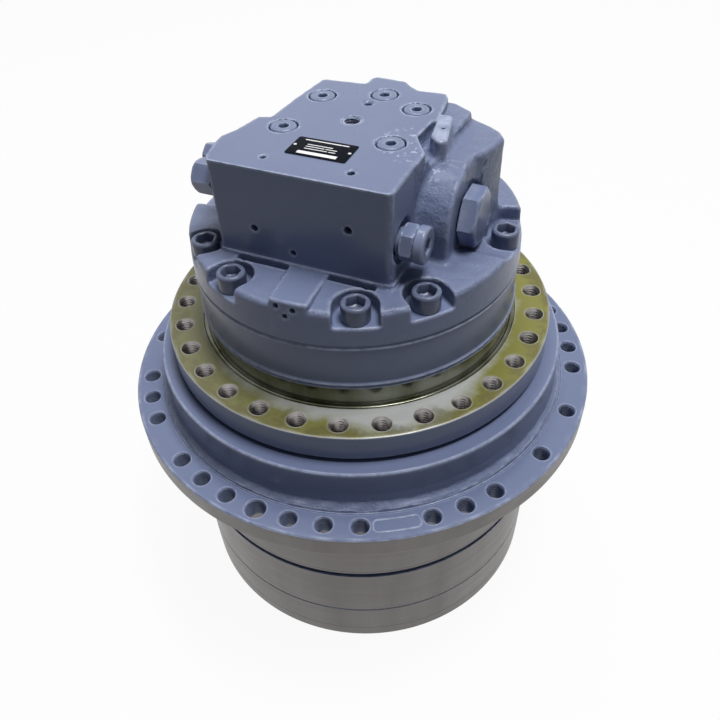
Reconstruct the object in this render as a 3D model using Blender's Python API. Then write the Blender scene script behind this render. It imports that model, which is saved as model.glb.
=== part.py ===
"""Excavator final drive: a two-stage planetary travel drive with its axial piston motor.

The drive stands on its end cover. The origin is the middle of that cover's underside, +Z runs up the axis
that the hub turns about, and the flat front of the valve block faces -Y. Lengths are in metres and angles
in degrees. The hub, its two ring gears and the end cover turn round the stationary motor casing.
"""

import math

import bmesh
import bpy
from mathutils import Matrix

# Clearances
FIT = 0.0003
RUN = 0.0010
OVERRUN = 0.003
MERGE = 0.00001

# Steps round a full circle
DRUM_STEPS = 36
ROLLER_STEPS = 24
SHAFT_STEPS = 16
PLUG_STEPS = 12
SCREW_STEPS = 10
HOLE_STEPS = 8
BALL_STEPS = 6
POCKET_STEPS = 6

# Gear trains: stage 1 is driven by the motor shaft, stage 2 turns the hub
MODULE = 0.008
ADDENDUM_SHARE = 0.85
DEDENDUM_SHARE = 1.2
BACKLASH_SHARE = 0.10
PRESSURE_ANGLE = 20.0
RING_1_TEETH = 38
SUN_1_TEETH = 10
PLANET_1_TEETH = 14
PLANETS_1 = 3
STAGE_1_TURN = 90.0
RING_2_TEETH = 39
SUN_2_TEETH = 9
PLANET_2_TEETH = 15
PLANETS_2 = 4
STAGE_2_TURN = 45.0
PLANET_1_WIDTH = 0.025
PLANET_2_WIDTH = 0.052
END_PLAY = 0.003
CARRIER_1_THICKNESS = 0.0125
CARRIER_1_MARGIN = 0.004
CARRIER_2_THICKNESS = 0.0095
CARRIER_2_MARGIN = 0.002
CARRIER_2_BORE = 0.036
PIN_1_RADIUS = 0.021
PIN_2_RADIUS = 0.0235
SUN_2_NECK_RADIUS = 0.029
STEM_RADIUS = 0.0165
THRUST_RADIUS = 0.030
THRUST_HEIGHT = 0.0025

CENTRE_1_RADIUS = MODULE * (SUN_1_TEETH + PLANET_1_TEETH) / 2
CENTRE_2_RADIUS = MODULE * (SUN_2_TEETH + PLANET_2_TEETH) / 2
CARRIER_1_RADIUS = CENTRE_1_RADIUS + PIN_1_RADIUS + CARRIER_1_MARGIN
CARRIER_2_RADIUS = CENTRE_2_RADIUS + PIN_2_RADIUS + CARRIER_2_MARGIN

# Heights of the pieces stacked along the axis, from the floor up
END_COVER_HEIGHT = 0.018
RING_1_SPARE_HEIGHT = 0.014
RING_2_SPARE_HEIGHT = 0.024
BARREL_HEIGHT = 0.098
SPROCKET_FLANGE_HEIGHT = 0.022
PILOT_HEIGHT = 0.0435
FLANGE_GAP = 0.005
FRAME_FLANGE_HEIGHT = 0.026
NECK_HEIGHT = 0.0685
SEAT_HEIGHT = 0.017
PAD_HEIGHT = 0.014
BLOCK_HEIGHT = 0.0835

RING_1_HEIGHT = PLANET_1_WIDTH + RING_1_SPARE_HEIGHT
RING_2_HEIGHT = PLANET_2_WIDTH + RING_2_SPARE_HEIGHT
RING_1_BASE = END_COVER_HEIGHT
RING_2_BASE = RING_1_BASE + RING_1_HEIGHT
HUB_BASE = RING_2_BASE + RING_2_HEIGHT
SPROCKET_UNDERSIDE = HUB_BASE + BARREL_HEIGHT
SPROCKET_FACE = SPROCKET_UNDERSIDE + SPROCKET_FLANGE_HEIGHT
PILOT_TOP = SPROCKET_FACE + PILOT_HEIGHT
FRAME_FLANGE_BASE = PILOT_TOP + FLANGE_GAP
FRAME_FACE = FRAME_FLANGE_BASE + FRAME_FLANGE_HEIGHT
COVER_BASE = FRAME_FACE + NECK_HEIGHT
SCREW_SEAT = COVER_BASE + SEAT_HEIGHT
PAD_TOP = SCREW_SEAT + PAD_HEIGHT
BLOCK_TOP = PAD_TOP + BLOCK_HEIGHT

# Hub and drum
DRUM_WALL = 0.0274
BASE_STEP = 0.002
BASE_CHAMFER = 0.002
GROOVE_HEIGHT = 0.003
GROOVE_DEPTH = 0.004
SPROCKET_LAND_WIDTH = 0.012
SPROCKET_MARGIN = 0.015
SPROCKET_HOLE_RADIUS = 0.008
SPROCKET_PLACES = 44
SPROCKET_PLAIN_PLACES = (1, 7, 15, 19, 21, 23, 25, 29, 37, 41, 43)
SPROCKET_WIDE_PLACES = (11, 33)
SPROCKET_WIDE_RADIUS = 0.0095
SPROCKET_TURN = -1.3
SPROCKET_EDGE = 0.0015
PILOT_STEP = 0.007
PILOT_ROUND = 0.003
PILOT_FOOT_WIDTH = 0.008
PILOT_FOOT_HEIGHT = 0.006

DRUM_RADIUS = MODULE * (RING_2_TEETH / 2 + DEDENDUM_SHARE) + DRUM_WALL
BASE_RADIUS = DRUM_RADIUS - BASE_STEP
PILOT_RADIUS = DRUM_RADIUS + PILOT_STEP
PILOT_FOOT_RADIUS = PILOT_RADIUS + PILOT_FOOT_WIDTH
SPROCKET_PITCH_RADIUS = PILOT_FOOT_RADIUS + SPROCKET_LAND_WIDTH
SPROCKET_RADIUS = SPROCKET_PITCH_RADIUS + SPROCKET_MARGIN

# Main bearings, on the spindle that holds the second carrier
SOCKET_MARGIN = 0.0095
SPINDLE_WALL = 0.0175
BEARING_SECTION_HEIGHT = 0.0335
BEARING_WIDTH = 0.032
RACE_THICKNESS = 0.0062
BALL_GAP = 0.0007
RIB_HEIGHT = 0.0065
SPINDLE_REACH = 0.005
NUT_SETBACK = 0.0105
NUT_HEIGHT = 0.0142

# Floating face seal, between the hub and the casing
SEAL_BORE_STEP = 0.0045
SEAL_RING_WIDTH = 0.0195
SEAL_LAND_STEP = 0.0025
SEAL_BORE_DEPTH = 0.030
SEAL_RECESS_DEPTH = 0.012

SOCKET_RADIUS = CENTRE_2_RADIUS + SOCKET_MARGIN
SPINDLE_RADIUS = SOCKET_RADIUS + SPINDLE_WALL
BEARING_RADIUS = SPINDLE_RADIUS + BEARING_SECTION_HEIGHT
RIB_RADIUS = BEARING_RADIUS - RIB_HEIGHT
NUT_RADIUS = BEARING_RADIUS - NUT_SETBACK
SEAL_BORE_RADIUS = BEARING_RADIUS + SEAL_BORE_STEP
SEAL_INNER_RADIUS = SEAL_BORE_RADIUS - SEAL_RING_WIDTH
SEAL_LAND_RADIUS = SEAL_INNER_RADIUS - SEAL_LAND_STEP
SPINDLE_END = HUB_BASE - SPINDLE_REACH
NUT_BASE = SPINDLE_END + FIT
LOWER_BEARING_BASE = NUT_BASE + NUT_HEIGHT + FIT
LOWER_BEARING_TOP = LOWER_BEARING_BASE + BEARING_WIDTH
SEAL_SEAT = PILOT_TOP - SEAL_BORE_DEPTH
UPPER_BEARING_TOP = SEAL_SEAT - RUN
UPPER_BEARING_BASE = UPPER_BEARING_TOP - BEARING_WIDTH
SEAL_ROOF = FRAME_FLANGE_BASE + SEAL_RECESS_DEPTH
SEAL_RING_HEIGHT = (SEAL_ROOF - SEAL_SEAT - 3 * FIT) / 2

# Motor casing
FRAME_LAND_WIDTH = 0.011
FRAME_MARGIN = 0.0146
FRAME_HOLE_RADIUS = 0.0078
FRAME_HOLE_DEPTH = 0.011
FRAME_HOLES = 30
NECK_SETBACK = 0.022
NECK_RELIEF = 0.004
NECK_RELIEF_DEPTH = 0.002
BARREL_RADIUS = 0.072
BRAKE_RING_WIDTH = 0.032
BRAKE_SHOULDER_WIDTH = 0.009
BRAKE_BORE_DEPTH = 0.074
SOCKET_DEPTH = 0.034
FLOOR_THICKNESS = 0.063
SHAFT_SEAL_DEPTH = 0.022
SHAFT_BEARING_DEPTH = 0.024

FRAME_PITCH_RADIUS = SEAL_BORE_RADIUS + FRAME_LAND_WIDTH
FRAME_FLANGE_RADIUS = FRAME_PITCH_RADIUS + FRAME_MARGIN
NECK_RADIUS = FRAME_PITCH_RADIUS - NECK_SETBACK
BRAKE_BORE_RADIUS = BARREL_RADIUS + BRAKE_RING_WIDTH
CAVITY_RADIUS = BRAKE_BORE_RADIUS - BRAKE_SHOULDER_WIDTH
SOCKET_TOP = SPINDLE_END + SOCKET_DEPTH
MOTOR_FLOOR = SOCKET_TOP + FLOOR_THICKNESS
BRAKE_SHOULDER = COVER_BASE - BRAKE_BORE_DEPTH

STAGE_1_BASE = RING_1_BASE + END_PLAY
CARRIER_1_BASE = STAGE_1_BASE + PLANET_1_WIDTH + RUN
CARRIER_1_TOP = CARRIER_1_BASE + CARRIER_1_THICKNESS
CARRIER_2_TOP = SPINDLE_END - FIT
CARRIER_2_BASE = CARRIER_2_TOP - CARRIER_2_THICKNESS
STAGE_2_TOP = CARRIER_2_BASE - RUN

# End cover and its plugs
COVER_BOLTS = 12
COVER_BOLT_MARGIN = 0.017
COVER_BOLT_HEAD_RADIUS = 0.0135
COVER_BOLT_DEPTH = 0.010
DRAIN_RADIUS = 0.100
DRAIN_PLUG_RADIUS = 0.0145
DRAIN_ANGLES = (-90.0, 90.0)

COVER_BOLT_RADIUS = BASE_RADIUS - COVER_BOLT_MARGIN

# Motor
SHAFT_RADIUS = 0.022
SHAFT_JOURNAL_RADIUS = 0.024
SHAFT_TAIL_RADIUS = 0.018
SHAFT_TAIL = 0.014
SHAFT_END_GAP = 0.004
COUPLING_DEPTH = 0.024
SHAFT_SEAL_RADIUS = 0.034
SHAFT_SEAL_HEIGHT = 0.009
SHAFT_BEARING_RADIUS = 0.045
VALVE_PLATE_RADIUS = 0.060
VALVE_PLATE_HEIGHT = 0.008
KIDNEY_PITCH_RADIUS = 0.040
KIDNEY_HALF_WIDTH = 0.005
KIDNEY_HALF_ANGLE = 62.0
PISTONS = 9
PISTON_PITCH_RADIUS = 0.048
PISTON_RADIUS = 0.0100
PISTON_REACH = 0.042
SHOE_PLATE_THICKNESS = 0.004
SHOE_PLATE_RADIUS = 0.064
BARREL_LIFT = 0.014
SWASH_RADIUS = 0.070
SWASH_BORE = 0.036
SWASH_BACK = 0.010
SWASH_FRONT = 0.004
SWASH_TILT = 17.0
ROCKER_RADIUS = 0.034
ROCKER_INNER = 0.042
ROCKER_OUTER = 0.060

SWASH_PIVOT = MOTOR_FLOOR + ROCKER_RADIUS + FIT
SWASH_CREST = (
    SWASH_PIVOT
    + SWASH_RADIUS * math.sin(math.radians(SWASH_TILT))
    + SWASH_FRONT * math.cos(math.radians(SWASH_TILT))
)
SHOE_BASE = SWASH_CREST + RUN
BARREL_BASE = SHOE_BASE + SHOE_PLATE_THICKNESS + BARREL_LIFT
VALVE_PLATE_BASE = COVER_BASE - FIT - VALVE_PLATE_HEIGHT
BARREL_TOP = VALVE_PLATE_BASE - FIT
SHAFT_BOTTOM = SOCKET_TOP + SHAFT_SEAL_DEPTH / 4
SHAFT_TOP = COVER_BASE + SHAFT_TAIL

# Parking brake
DISC_THICKNESS = 0.004
STEEL_DISC_GAP = 0.007
FRICTION_DISC_GAP = 0.006
BRAKE_PISTON_GAP = 0.008
BRAKE_SPRING_ROOM = 0.012

STEEL_DISC_BORE = BARREL_RADIUS + STEEL_DISC_GAP
FRICTION_DISC_RADIUS = BRAKE_BORE_RADIUS - FRICTION_DISC_GAP
BRAKE_PISTON_BORE = BARREL_RADIUS + BRAKE_PISTON_GAP

# Motor cover with its valve block
COVER_OVERHANG = 0.001
COVER_EDGE = 0.003
RIM_DROP = 0.002
RIM_WIDTH = 0.056
SCREW_MARGIN = 0.0135
SCREW_ANGLES = (6, 54, 78, 102, 126, 174, 222, 246, 294, 318)
SCREW_HEAD_RADIUS = 0.012
SCREW_HEAD_HEIGHT = 0.016
SCREW_SHANK_RADIUS = 0.008
SCREW_REACH = 0.045
SCREW_HOLE_SPARE = 0.004
SCREW_HEX_RADIUS = 0.0081
SCREW_HEX_DEPTH = 0.008
POCKET_RADIUS = 0.0185
BLOCK_SIDE = 0.080
BLOCK_FRONT_REACH = 0.098
BLOCK_OUTLINE_SHARES = (
    (-0.98, -1.0), (0.94, -1.0), (0.94, -0.56), (0.975, -0.29), (0.85, 0.63), (0.675, 0.785),
    (0.39, 0.775), (0.27, 0.84), (0.175, 0.92), (-0.175, 0.94), (-0.225, 0.89), (-0.225, 0.76),
    (-0.72, 0.735), (-0.75, 0.70), (-0.81, 0.245), (-0.84, -0.15), (-0.97, -0.18), (-1.04, -0.47),
    (-1.11, -0.60), (-1.10, -0.72), (-1.04, -0.94),
)
BOSS_RADIUS = 0.044
BOSS_LEFT_RADIUS = 0.040
BOSS_REACH = 0.104
BOSS_ROOT = 0.050
BOSS_STEPS = 20
SPOOL_ROW = -0.008
SPOOL_HEIGHT = 0.022
EAR_HEIGHT = 0.068
EAR_OUTLINE_SHARES = (
    (0.577, -0.082), (1.0, -0.082), (1.0, 0.082), (1.077, 0.143), (1.135, 0.265), (1.183, 0.388),
    (1.154, 0.51), (1.04, 0.633), (0.798, 0.786), (0.577, 0.786),
)
SHELF_HEIGHT = 0.076
SHELF_OUTLINE_SHARES = ((0.75, 0.31), (1.04, 0.31), (1.04, 0.70), (0.80, 0.77), (0.55, 0.77))

COVER_RADIUS = NECK_RADIUS + COVER_OVERHANG
PAD_FOOT_RADIUS = COVER_RADIUS - RIM_WIDTH
SCREW_PITCH_RADIUS = NECK_RADIUS - SCREW_MARGIN
SPOOL_LEVEL = PAD_TOP + SPOOL_HEIGHT
BLOCK_LOW = SCREW_SEAT + PAD_HEIGHT / 2

# Plugs, caps and the name plate on the cover
GALLERY_PLUG_RADIUS = 0.0125
GALLERY_PLUG_HEIGHT = 0.010
GALLERY_SHARES = ((-0.557, 0.393), (-0.616, -0.265), (0.082, 0.589), (0.54, 0.402), (0.5675, -0.256))
SOCKET_SHARE = 0.42
SOCKET_DEPTH_SHARE = 0.6
LIFT_HOLE_RADIUS = 0.0077
LIFT_HOLE_DEPTH = 0.024
SPOOL_RADIUS = 0.015
SPOOL_END_DEPTH = 0.024
SPOOL_WAIST_RADIUS = 0.010
SPOOL_WAIST_SHARES = (0.25, 0.55)
SPOOL_TRAVEL = 0.004
CAP_HEX_RADIUS = 0.0256
CAP_HEX_LENGTH = 0.0165
CAP_STEM_RADIUS = 0.019
CAP_SPOT_MARGIN = 0.004
RELIEF_HEX_RADIUS = 0.0175
RELIEF_HEX_LENGTH = 0.013
RELIEF_END_RADIUS = 0.0155
RELIEF_END_LENGTH = 0.008
RELIEF_STEM_RADIUS = 0.011
RELIEF_STEM_LENGTH = 0.016
RELIEF_ROW = -0.075
RELIEF_RIGHT_HEIGHT = 0.031
RELIEF_LEFT_HEIGHT = 0.054
RELIEF_SIDE_SHARES = (0.94, -1.107)
PORT_PLUG_RADIUS = 0.010
PORT_PLUG_ROW = -0.046
PORT_PLUG_HEIGHT = 0.057
PORT_PLUG_SHARES = (-0.95, -1.40)
PLATE_WIDTH = 0.052
PLATE_DEPTH = 0.028
PLATE_THICKNESS = 0.0008
PLATE_ROW = -0.0535

SPOOL_HALF_LENGTH = BOSS_REACH - SPOOL_END_DEPTH
RELIEF_PLACES = (
    (RELIEF_SIDE_SHARES[0] * BLOCK_SIDE, PAD_TOP + RELIEF_RIGHT_HEIGHT),
    (RELIEF_SIDE_SHARES[1] * BLOCK_SIDE, PAD_TOP + RELIEF_LEFT_HEIGHT),
)
PORT_PLUG_AXIS = (0, PORT_PLUG_ROW, PAD_TOP + PORT_PLUG_HEIGHT)

# Finishes: colour, metallic, roughness
FINISHES = {
    "blue_grey_enamel": ((0.17, 0.19, 0.30, 1.0), 0.0, 0.35),
    "drum_enamel": ((0.16, 0.16, 0.16, 1.0), 0.0, 0.45),
    "bare_steel": ((0.55, 0.55, 0.56, 1.0), 1.0, 0.35),
    "gear_steel": ((0.42, 0.42, 0.44, 1.0), 1.0, 0.3),
    "bronze": ((0.60, 0.42, 0.20, 1.0), 1.0, 0.35),
    "seal_rubber": ((0.02, 0.02, 0.02, 1.0), 0.0, 0.7),
    "black_plate": ((0.015, 0.015, 0.018, 1.0), 0.2, 0.4),
}


def finish(name):
    """The Principled BSDF material of a finish, made once."""
    if name in bpy.data.materials:
        return bpy.data.materials[name]
    colour, metallic, roughness = FINISHES[name]
    material = bpy.data.materials.new(name)
    material.use_nodes = True
    shader = material.node_tree.nodes["Principled BSDF"]
    shader.inputs["Base Color"].default_value = colour
    shader.inputs["Metallic"].default_value = metallic
    shader.inputs["Roughness"].default_value = roughness
    material.diffuse_color = colour
    return material


def to_mesh(shape, name):
    """Closes a bmesh into a mesh with its faces pointing out."""
    bmesh.ops.remove_doubles(shape, verts=shape.verts, dist=MERGE)
    bmesh.ops.recalc_face_normals(shape, faces=shape.faces)
    mesh = bpy.data.meshes.new(name)
    shape.to_mesh(mesh)
    shape.free()
    mesh.shade_smooth()
    mesh.set_sharp_from_angle(angle=math.radians(35))
    return mesh


def place(name, mesh, material, location=(0, 0, 0), turn=(0, 0, 0)):
    """A named object with its finish, set at its joint's axis or at the origin."""
    item = bpy.data.objects.new(name, mesh)
    if not mesh.materials:
        mesh.materials.append(finish(material))
    item.location = location
    item.rotation_euler = [math.radians(angle) for angle in turn]
    bpy.context.collection.objects.link(item)
    return item


def turned_shape(profile, steps):
    """A solid of revolution about Z from (radius, height) points. A ring's profile is closed."""
    shape = bmesh.new()
    points = [shape.verts.new((radius, 0, height)) for radius, height in profile]
    pairs = list(zip(points, points[1:]))
    if min(radius for radius, height in profile) > 0:
        pairs.append((points[-1], points[0]))
    edges = [shape.edges.new(pair) for pair in pairs]
    bmesh.ops.spin(
        shape, geom=points + edges, cent=(0, 0, 0), axis=(0, 0, 1), angle=math.tau,
        steps=steps, use_merge=True,
    )
    return shape


def turned(name, profile, steps, material, **placing):
    """A named solid of revolution."""
    return place(name, to_mesh(turned_shape(profile, steps), name), material, **placing)


def ring_profile(inner, outer, low, high):
    """A plain rectangular section for a ring."""
    return [(inner, high), (outer, high), (outer, low), (inner, low)]


def circle(radius, steps, centre=(0, 0), start=0.0):
    """Points of a circle, anticlockwise."""
    angles = [math.radians(start) + math.tau * step / steps for step in range(steps)]
    return [
        (centre[0] + radius * math.cos(angle), centre[1] + radius * math.sin(angle))
        for angle in angles
    ]


def polar(radius, degrees):
    """A point at a radius and an angle from +X."""
    angle = math.radians(degrees)
    return (radius * math.cos(angle), radius * math.sin(angle))


def add_prism(shape, outline, low, high, hole=None):
    """Adds an upright prism to a bmesh, hollow where a hole's outline is given."""
    edges = []
    for loop in [outline] + ([hole] if hole else []):
        corners = [shape.verts.new((x, y, low)) for x, y in loop]
        edges += [shape.edges.new(pair) for pair in zip(corners, corners[1:] + corners[:1])]
    fill = bmesh.ops.triangle_fill(shape, use_beauty=True, edges=edges, normal=(0, 0, 1))
    faces = [item for item in fill["geom"] if isinstance(item, bmesh.types.BMFace)]
    lifted = bmesh.ops.extrude_face_region(shape, geom=faces)
    tops = [item for item in lifted["geom"] if isinstance(item, bmesh.types.BMVert)]
    bmesh.ops.translate(shape, verts=tops, vec=(0, 0, high - low))


def prism(name, outline, low, high, material, hole=None, **placing):
    """A named upright prism."""
    shape = bmesh.new()
    add_prism(shape, outline, low, high, hole)
    return place(name, to_mesh(shape, name), material, **placing)


def guide(name, shape, **placing):
    """A cutting or joining shape: it isn't a piece of the drive."""
    item = place(name, to_mesh(shape, name), "bare_steel", **placing)
    item.hide_render = True
    item.display_type = "WIRE"
    return item


def drills(name, centres, radius, low, high, steps=HOLE_STEPS, **placing):
    """Upright round cutters at a list of places that don't touch."""
    shape = bmesh.new()
    for centre in centres:
        add_prism(shape, circle(radius, steps, centre, start=180 / steps), low, high)
    return guide(name, shape, **placing)


def lying(shape):
    """Lays an upright shape along +X, with its old +X along +Y and its old +Y pointing up."""
    matrix = Matrix(((0, 0, 1, 0), (1, 0, 0, 0), (0, 1, 0, 0), (0, 0, 0, 1)))
    bmesh.ops.transform(shape, verts=shape.verts, matrix=matrix)
    return shape


def combine(target, other, operation):
    """Cuts, joins or intersects a piece with a guide."""
    change = target.modifiers.new(other.name, "BOOLEAN")
    change.operation = operation
    change.object = other


def settled(item):
    """Replaces a piece's mesh with its modified mesh, so that copies can share it."""
    bpy.context.view_layer.update()
    graph = bpy.context.evaluated_depsgraph_get()
    mesh = bpy.data.meshes.new_from_object(item.evaluated_get(graph))
    item.modifiers.clear()
    item.data = mesh
    return mesh


def flank_angle(teeth, radius, backlash):
    """Half the angle that a tooth takes at a radius: its share of the pitch less the involute's spread."""
    pitch_radius = MODULE * teeth / 2
    base_radius = pitch_radius * math.cos(math.radians(PRESSURE_ANGLE))
    at_pitch = math.radians(PRESSURE_ANGLE)
    at_radius = math.acos(min(1.0, base_radius / radius))
    half = (math.pi * MODULE / 2 - backlash) / (2 * pitch_radius)
    return half + math.tan(at_pitch) - at_pitch - math.tan(at_radius) + at_radius


def gear_outline(teeth, start=0.0):
    """Outline of an external gear with a tooth centred at the start angle."""
    pitch_radius = MODULE * teeth / 2
    root = pitch_radius - DEDENDUM_SHARE * MODULE
    tip = pitch_radius + ADDENDUM_SHARE * MODULE
    low = flank_angle(teeth, root, BACKLASH_SHARE * MODULE)
    high = flank_angle(teeth, tip, BACKLASH_SHARE * MODULE)
    points = []
    for tooth in range(teeth):
        middle = start + 360 * tooth / teeth
        for radius, half in ((root, -low), (tip, -high), (tip, high), (root, low)):
            points.append(polar(radius, middle + math.degrees(half)))
    return points


def ring_outline(teeth, start=0.0):
    """Inner outline of a ring gear with a space centred at the start angle."""
    pitch_radius = MODULE * teeth / 2
    root = pitch_radius + DEDENDUM_SHARE * MODULE
    tip = pitch_radius - ADDENDUM_SHARE * MODULE
    low = flank_angle(teeth, root, -BACKLASH_SHARE * MODULE)
    high = flank_angle(teeth, tip, -BACKLASH_SHARE * MODULE)
    points = []
    for space in range(teeth):
        middle = start + 360 * space / teeth
        for radius, half in ((tip, -high), (root, -low), (root, low), (tip, high)):
            points.append(polar(radius, middle + math.degrees(half)))
    return points


def planet_turn(around, start, ring_teeth, planet_teeth):
    """How far a planet is turned to have a tooth in the ring gear's space nearest to it."""
    pitch = 360 / ring_teeth
    nearest = round((around - start) / pitch) * pitch
    return around + (nearest - (around - start)) * ring_teeth / planet_teeth


def sun_turn(start, sun_teeth, planet_teeth):
    """Start angle that has a sun's space face a planet's tooth, or its tooth face a space."""
    return start + (180 / sun_teeth if planet_teeth % 2 == 0 else 0)


def sprocket_spots(numbers):
    """Places on the sprocket flange's hole circle, by their number in its even steps."""
    step = 360 / SPROCKET_PLACES
    return [polar(SPROCKET_PITCH_RADIUS, SPROCKET_TURN + step * number) for number in numbers]


def build_hub():
    """Hub with the sprocket flange and its pilot ring."""
    bearing_bore = BEARING_RADIUS + FIT
    profile = [
        (SEAL_BORE_RADIUS, PILOT_TOP),
        (PILOT_RADIUS - PILOT_ROUND, PILOT_TOP),
        (PILOT_RADIUS, PILOT_TOP - PILOT_ROUND),
        (PILOT_RADIUS, SPROCKET_FACE + PILOT_FOOT_HEIGHT),
        (PILOT_FOOT_RADIUS, SPROCKET_FACE),
        (SPROCKET_RADIUS - SPROCKET_EDGE, SPROCKET_FACE),
        (SPROCKET_RADIUS, SPROCKET_FACE - SPROCKET_EDGE),
        (SPROCKET_RADIUS, SPROCKET_UNDERSIDE),
        (DRUM_RADIUS, SPROCKET_UNDERSIDE),
        (DRUM_RADIUS, HUB_BASE + GROOVE_HEIGHT),
        (DRUM_RADIUS - GROOVE_DEPTH, HUB_BASE + GROOVE_HEIGHT),
        (DRUM_RADIUS - GROOVE_DEPTH, HUB_BASE),
        (bearing_bore, HUB_BASE),
        (bearing_bore, LOWER_BEARING_TOP + FIT),
        (RIB_RADIUS, LOWER_BEARING_TOP + FIT),
        (RIB_RADIUS, UPPER_BEARING_BASE - FIT),
        (bearing_bore, UPPER_BEARING_BASE - FIT),
        (bearing_bore, SEAL_SEAT),
        (SEAL_BORE_RADIUS, SEAL_SEAT),
    ]
    hub = turned("hub", profile, DRUM_STEPS, "blue_grey_enamel")
    plain = SPROCKET_PLAIN_PLACES + SPROCKET_WIDE_PLACES
    drilled = [number for number in range(SPROCKET_PLACES) if number not in plain]
    low = SPROCKET_UNDERSIDE - OVERRUN
    for name, numbers, radius in (
        ("sprocket_holes", drilled, SPROCKET_HOLE_RADIUS),
        ("wide_holes", SPROCKET_WIDE_PLACES, SPROCKET_WIDE_RADIUS),
    ):
        holes = drills(name, sprocket_spots(numbers), radius, low, SPROCKET_FACE + OVERRUN)
        combine(hub, holes, "DIFFERENCE")


def build_ring_gears():
    """The two ring gears that make the lower drum."""
    rim = circle(DRUM_RADIUS, DRUM_STEPS)
    prism(
        "ring_gear_stage_2", rim, RING_2_BASE, HUB_BASE - FIT, "drum_enamel",
        hole=ring_outline(RING_2_TEETH, STAGE_2_TURN),
    )
    prism(
        "ring_gear_stage_1", rim, RING_1_BASE, RING_2_BASE - FIT, "drum_enamel",
        hole=ring_outline(RING_1_TEETH, STAGE_1_TURN),
    )


def build_end_cover():
    """End cover with its bolt recesses, thrust pad and two plugs."""
    top = END_COVER_HEIGHT - FIT
    profile = [
        (0, top + THRUST_HEIGHT),
        (THRUST_RADIUS, top + THRUST_HEIGHT),
        (THRUST_RADIUS, top),
        (BASE_RADIUS, top),
        (BASE_RADIUS, BASE_CHAMFER),
        (BASE_RADIUS - BASE_CHAMFER, 0),
        (0, 0),
    ]
    cover = turned("end_cover", profile, DRUM_STEPS, "drum_enamel")
    bolts = [polar(COVER_BOLT_RADIUS, 360 * (bolt + 0.5) / COVER_BOLTS) for bolt in range(COVER_BOLTS)]
    recesses = drills("bolt_recesses", bolts, COVER_BOLT_HEAD_RADIUS, -OVERRUN, COVER_BOLT_DEPTH)
    combine(cover, recesses, "DIFFERENCE")
    ports = [polar(DRAIN_RADIUS, angle) for angle in DRAIN_ANGLES]
    port_holes = drills(
        "drain_ports", ports, DRAIN_PLUG_RADIUS + FIT, -OVERRUN, END_COVER_HEIGHT + OVERRUN,
        steps=PLUG_STEPS,
    )
    combine(cover, port_holes, "DIFFERENCE")
    mesh = socket_plug_mesh("port_plug", DRAIN_PLUG_RADIUS, top - BASE_CHAMFER)
    for name, (x, y) in zip(("drain_plug", "level_plug"), ports):
        place(name, mesh, "bare_steel", location=(x, y, top), turn=(180, 0, 0))


def socket_plug_mesh(name, radius, height):
    """A flush round plug with a hexagon socket in its top, standing on z = 0."""
    plug = prism(name, circle(radius, PLUG_STEPS, start=180 / PLUG_STEPS), 0, height, "bare_steel")
    depth = SOCKET_DEPTH_SHARE * height
    socket = drills(
        name + "_socket", [(0, 0)], SOCKET_SHARE * radius, height - depth, height + OVERRUN, steps=6
    )
    combine(plug, socket, "DIFFERENCE")
    mesh = settled(plug)
    bpy.data.objects.remove(plug)
    return mesh


def build_seal():
    """The two metal rings of the floating face seal."""
    outer = SEAL_BORE_RADIUS - FIT
    low = SEAL_SEAT + FIT
    for name in ("running_seal_ring", "fixed_seal_ring"):
        section = ring_profile(SEAL_INNER_RADIUS, outer, low, low + SEAL_RING_HEIGHT)
        turned(name, section, DRUM_STEPS, "bare_steel")
        low += SEAL_RING_HEIGHT + FIT


def build_bearings():
    """Inner race, outer race and ring of balls of each main bearing, and the nut below them."""
    inner_bore = SPINDLE_RADIUS + FIT
    inner_track = inner_bore + RACE_THICKNESS
    outer_track = BEARING_RADIUS - RACE_THICKNESS
    ball_pitch = (inner_track + outer_track) / 2
    ball_radius = (outer_track - inner_track) / 2 - BALL_GAP
    for level, base in (("lower", LOWER_BEARING_BASE), ("upper", UPPER_BEARING_BASE)):
        top = base + BEARING_WIDTH
        inner_section = ring_profile(inner_bore, inner_track, base, top)
        outer_section = ring_profile(outer_track, BEARING_RADIUS, base, top)
        turned(level + "_inner_race", inner_section, DRUM_STEPS, "bare_steel")
        turned(level + "_outer_race", outer_section, DRUM_STEPS, "bare_steel")
        section = circle(ball_radius, BALL_STEPS, (ball_pitch, (base + top) / 2))
        turned(level + "_ball_set", section[::-1], DRUM_STEPS, "gear_steel")
    turned(
        "bearing_nut", ring_profile(inner_bore, NUT_RADIUS, NUT_BASE, NUT_BASE + NUT_HEIGHT),
        DRUM_STEPS, "bare_steel",
    )


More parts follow.
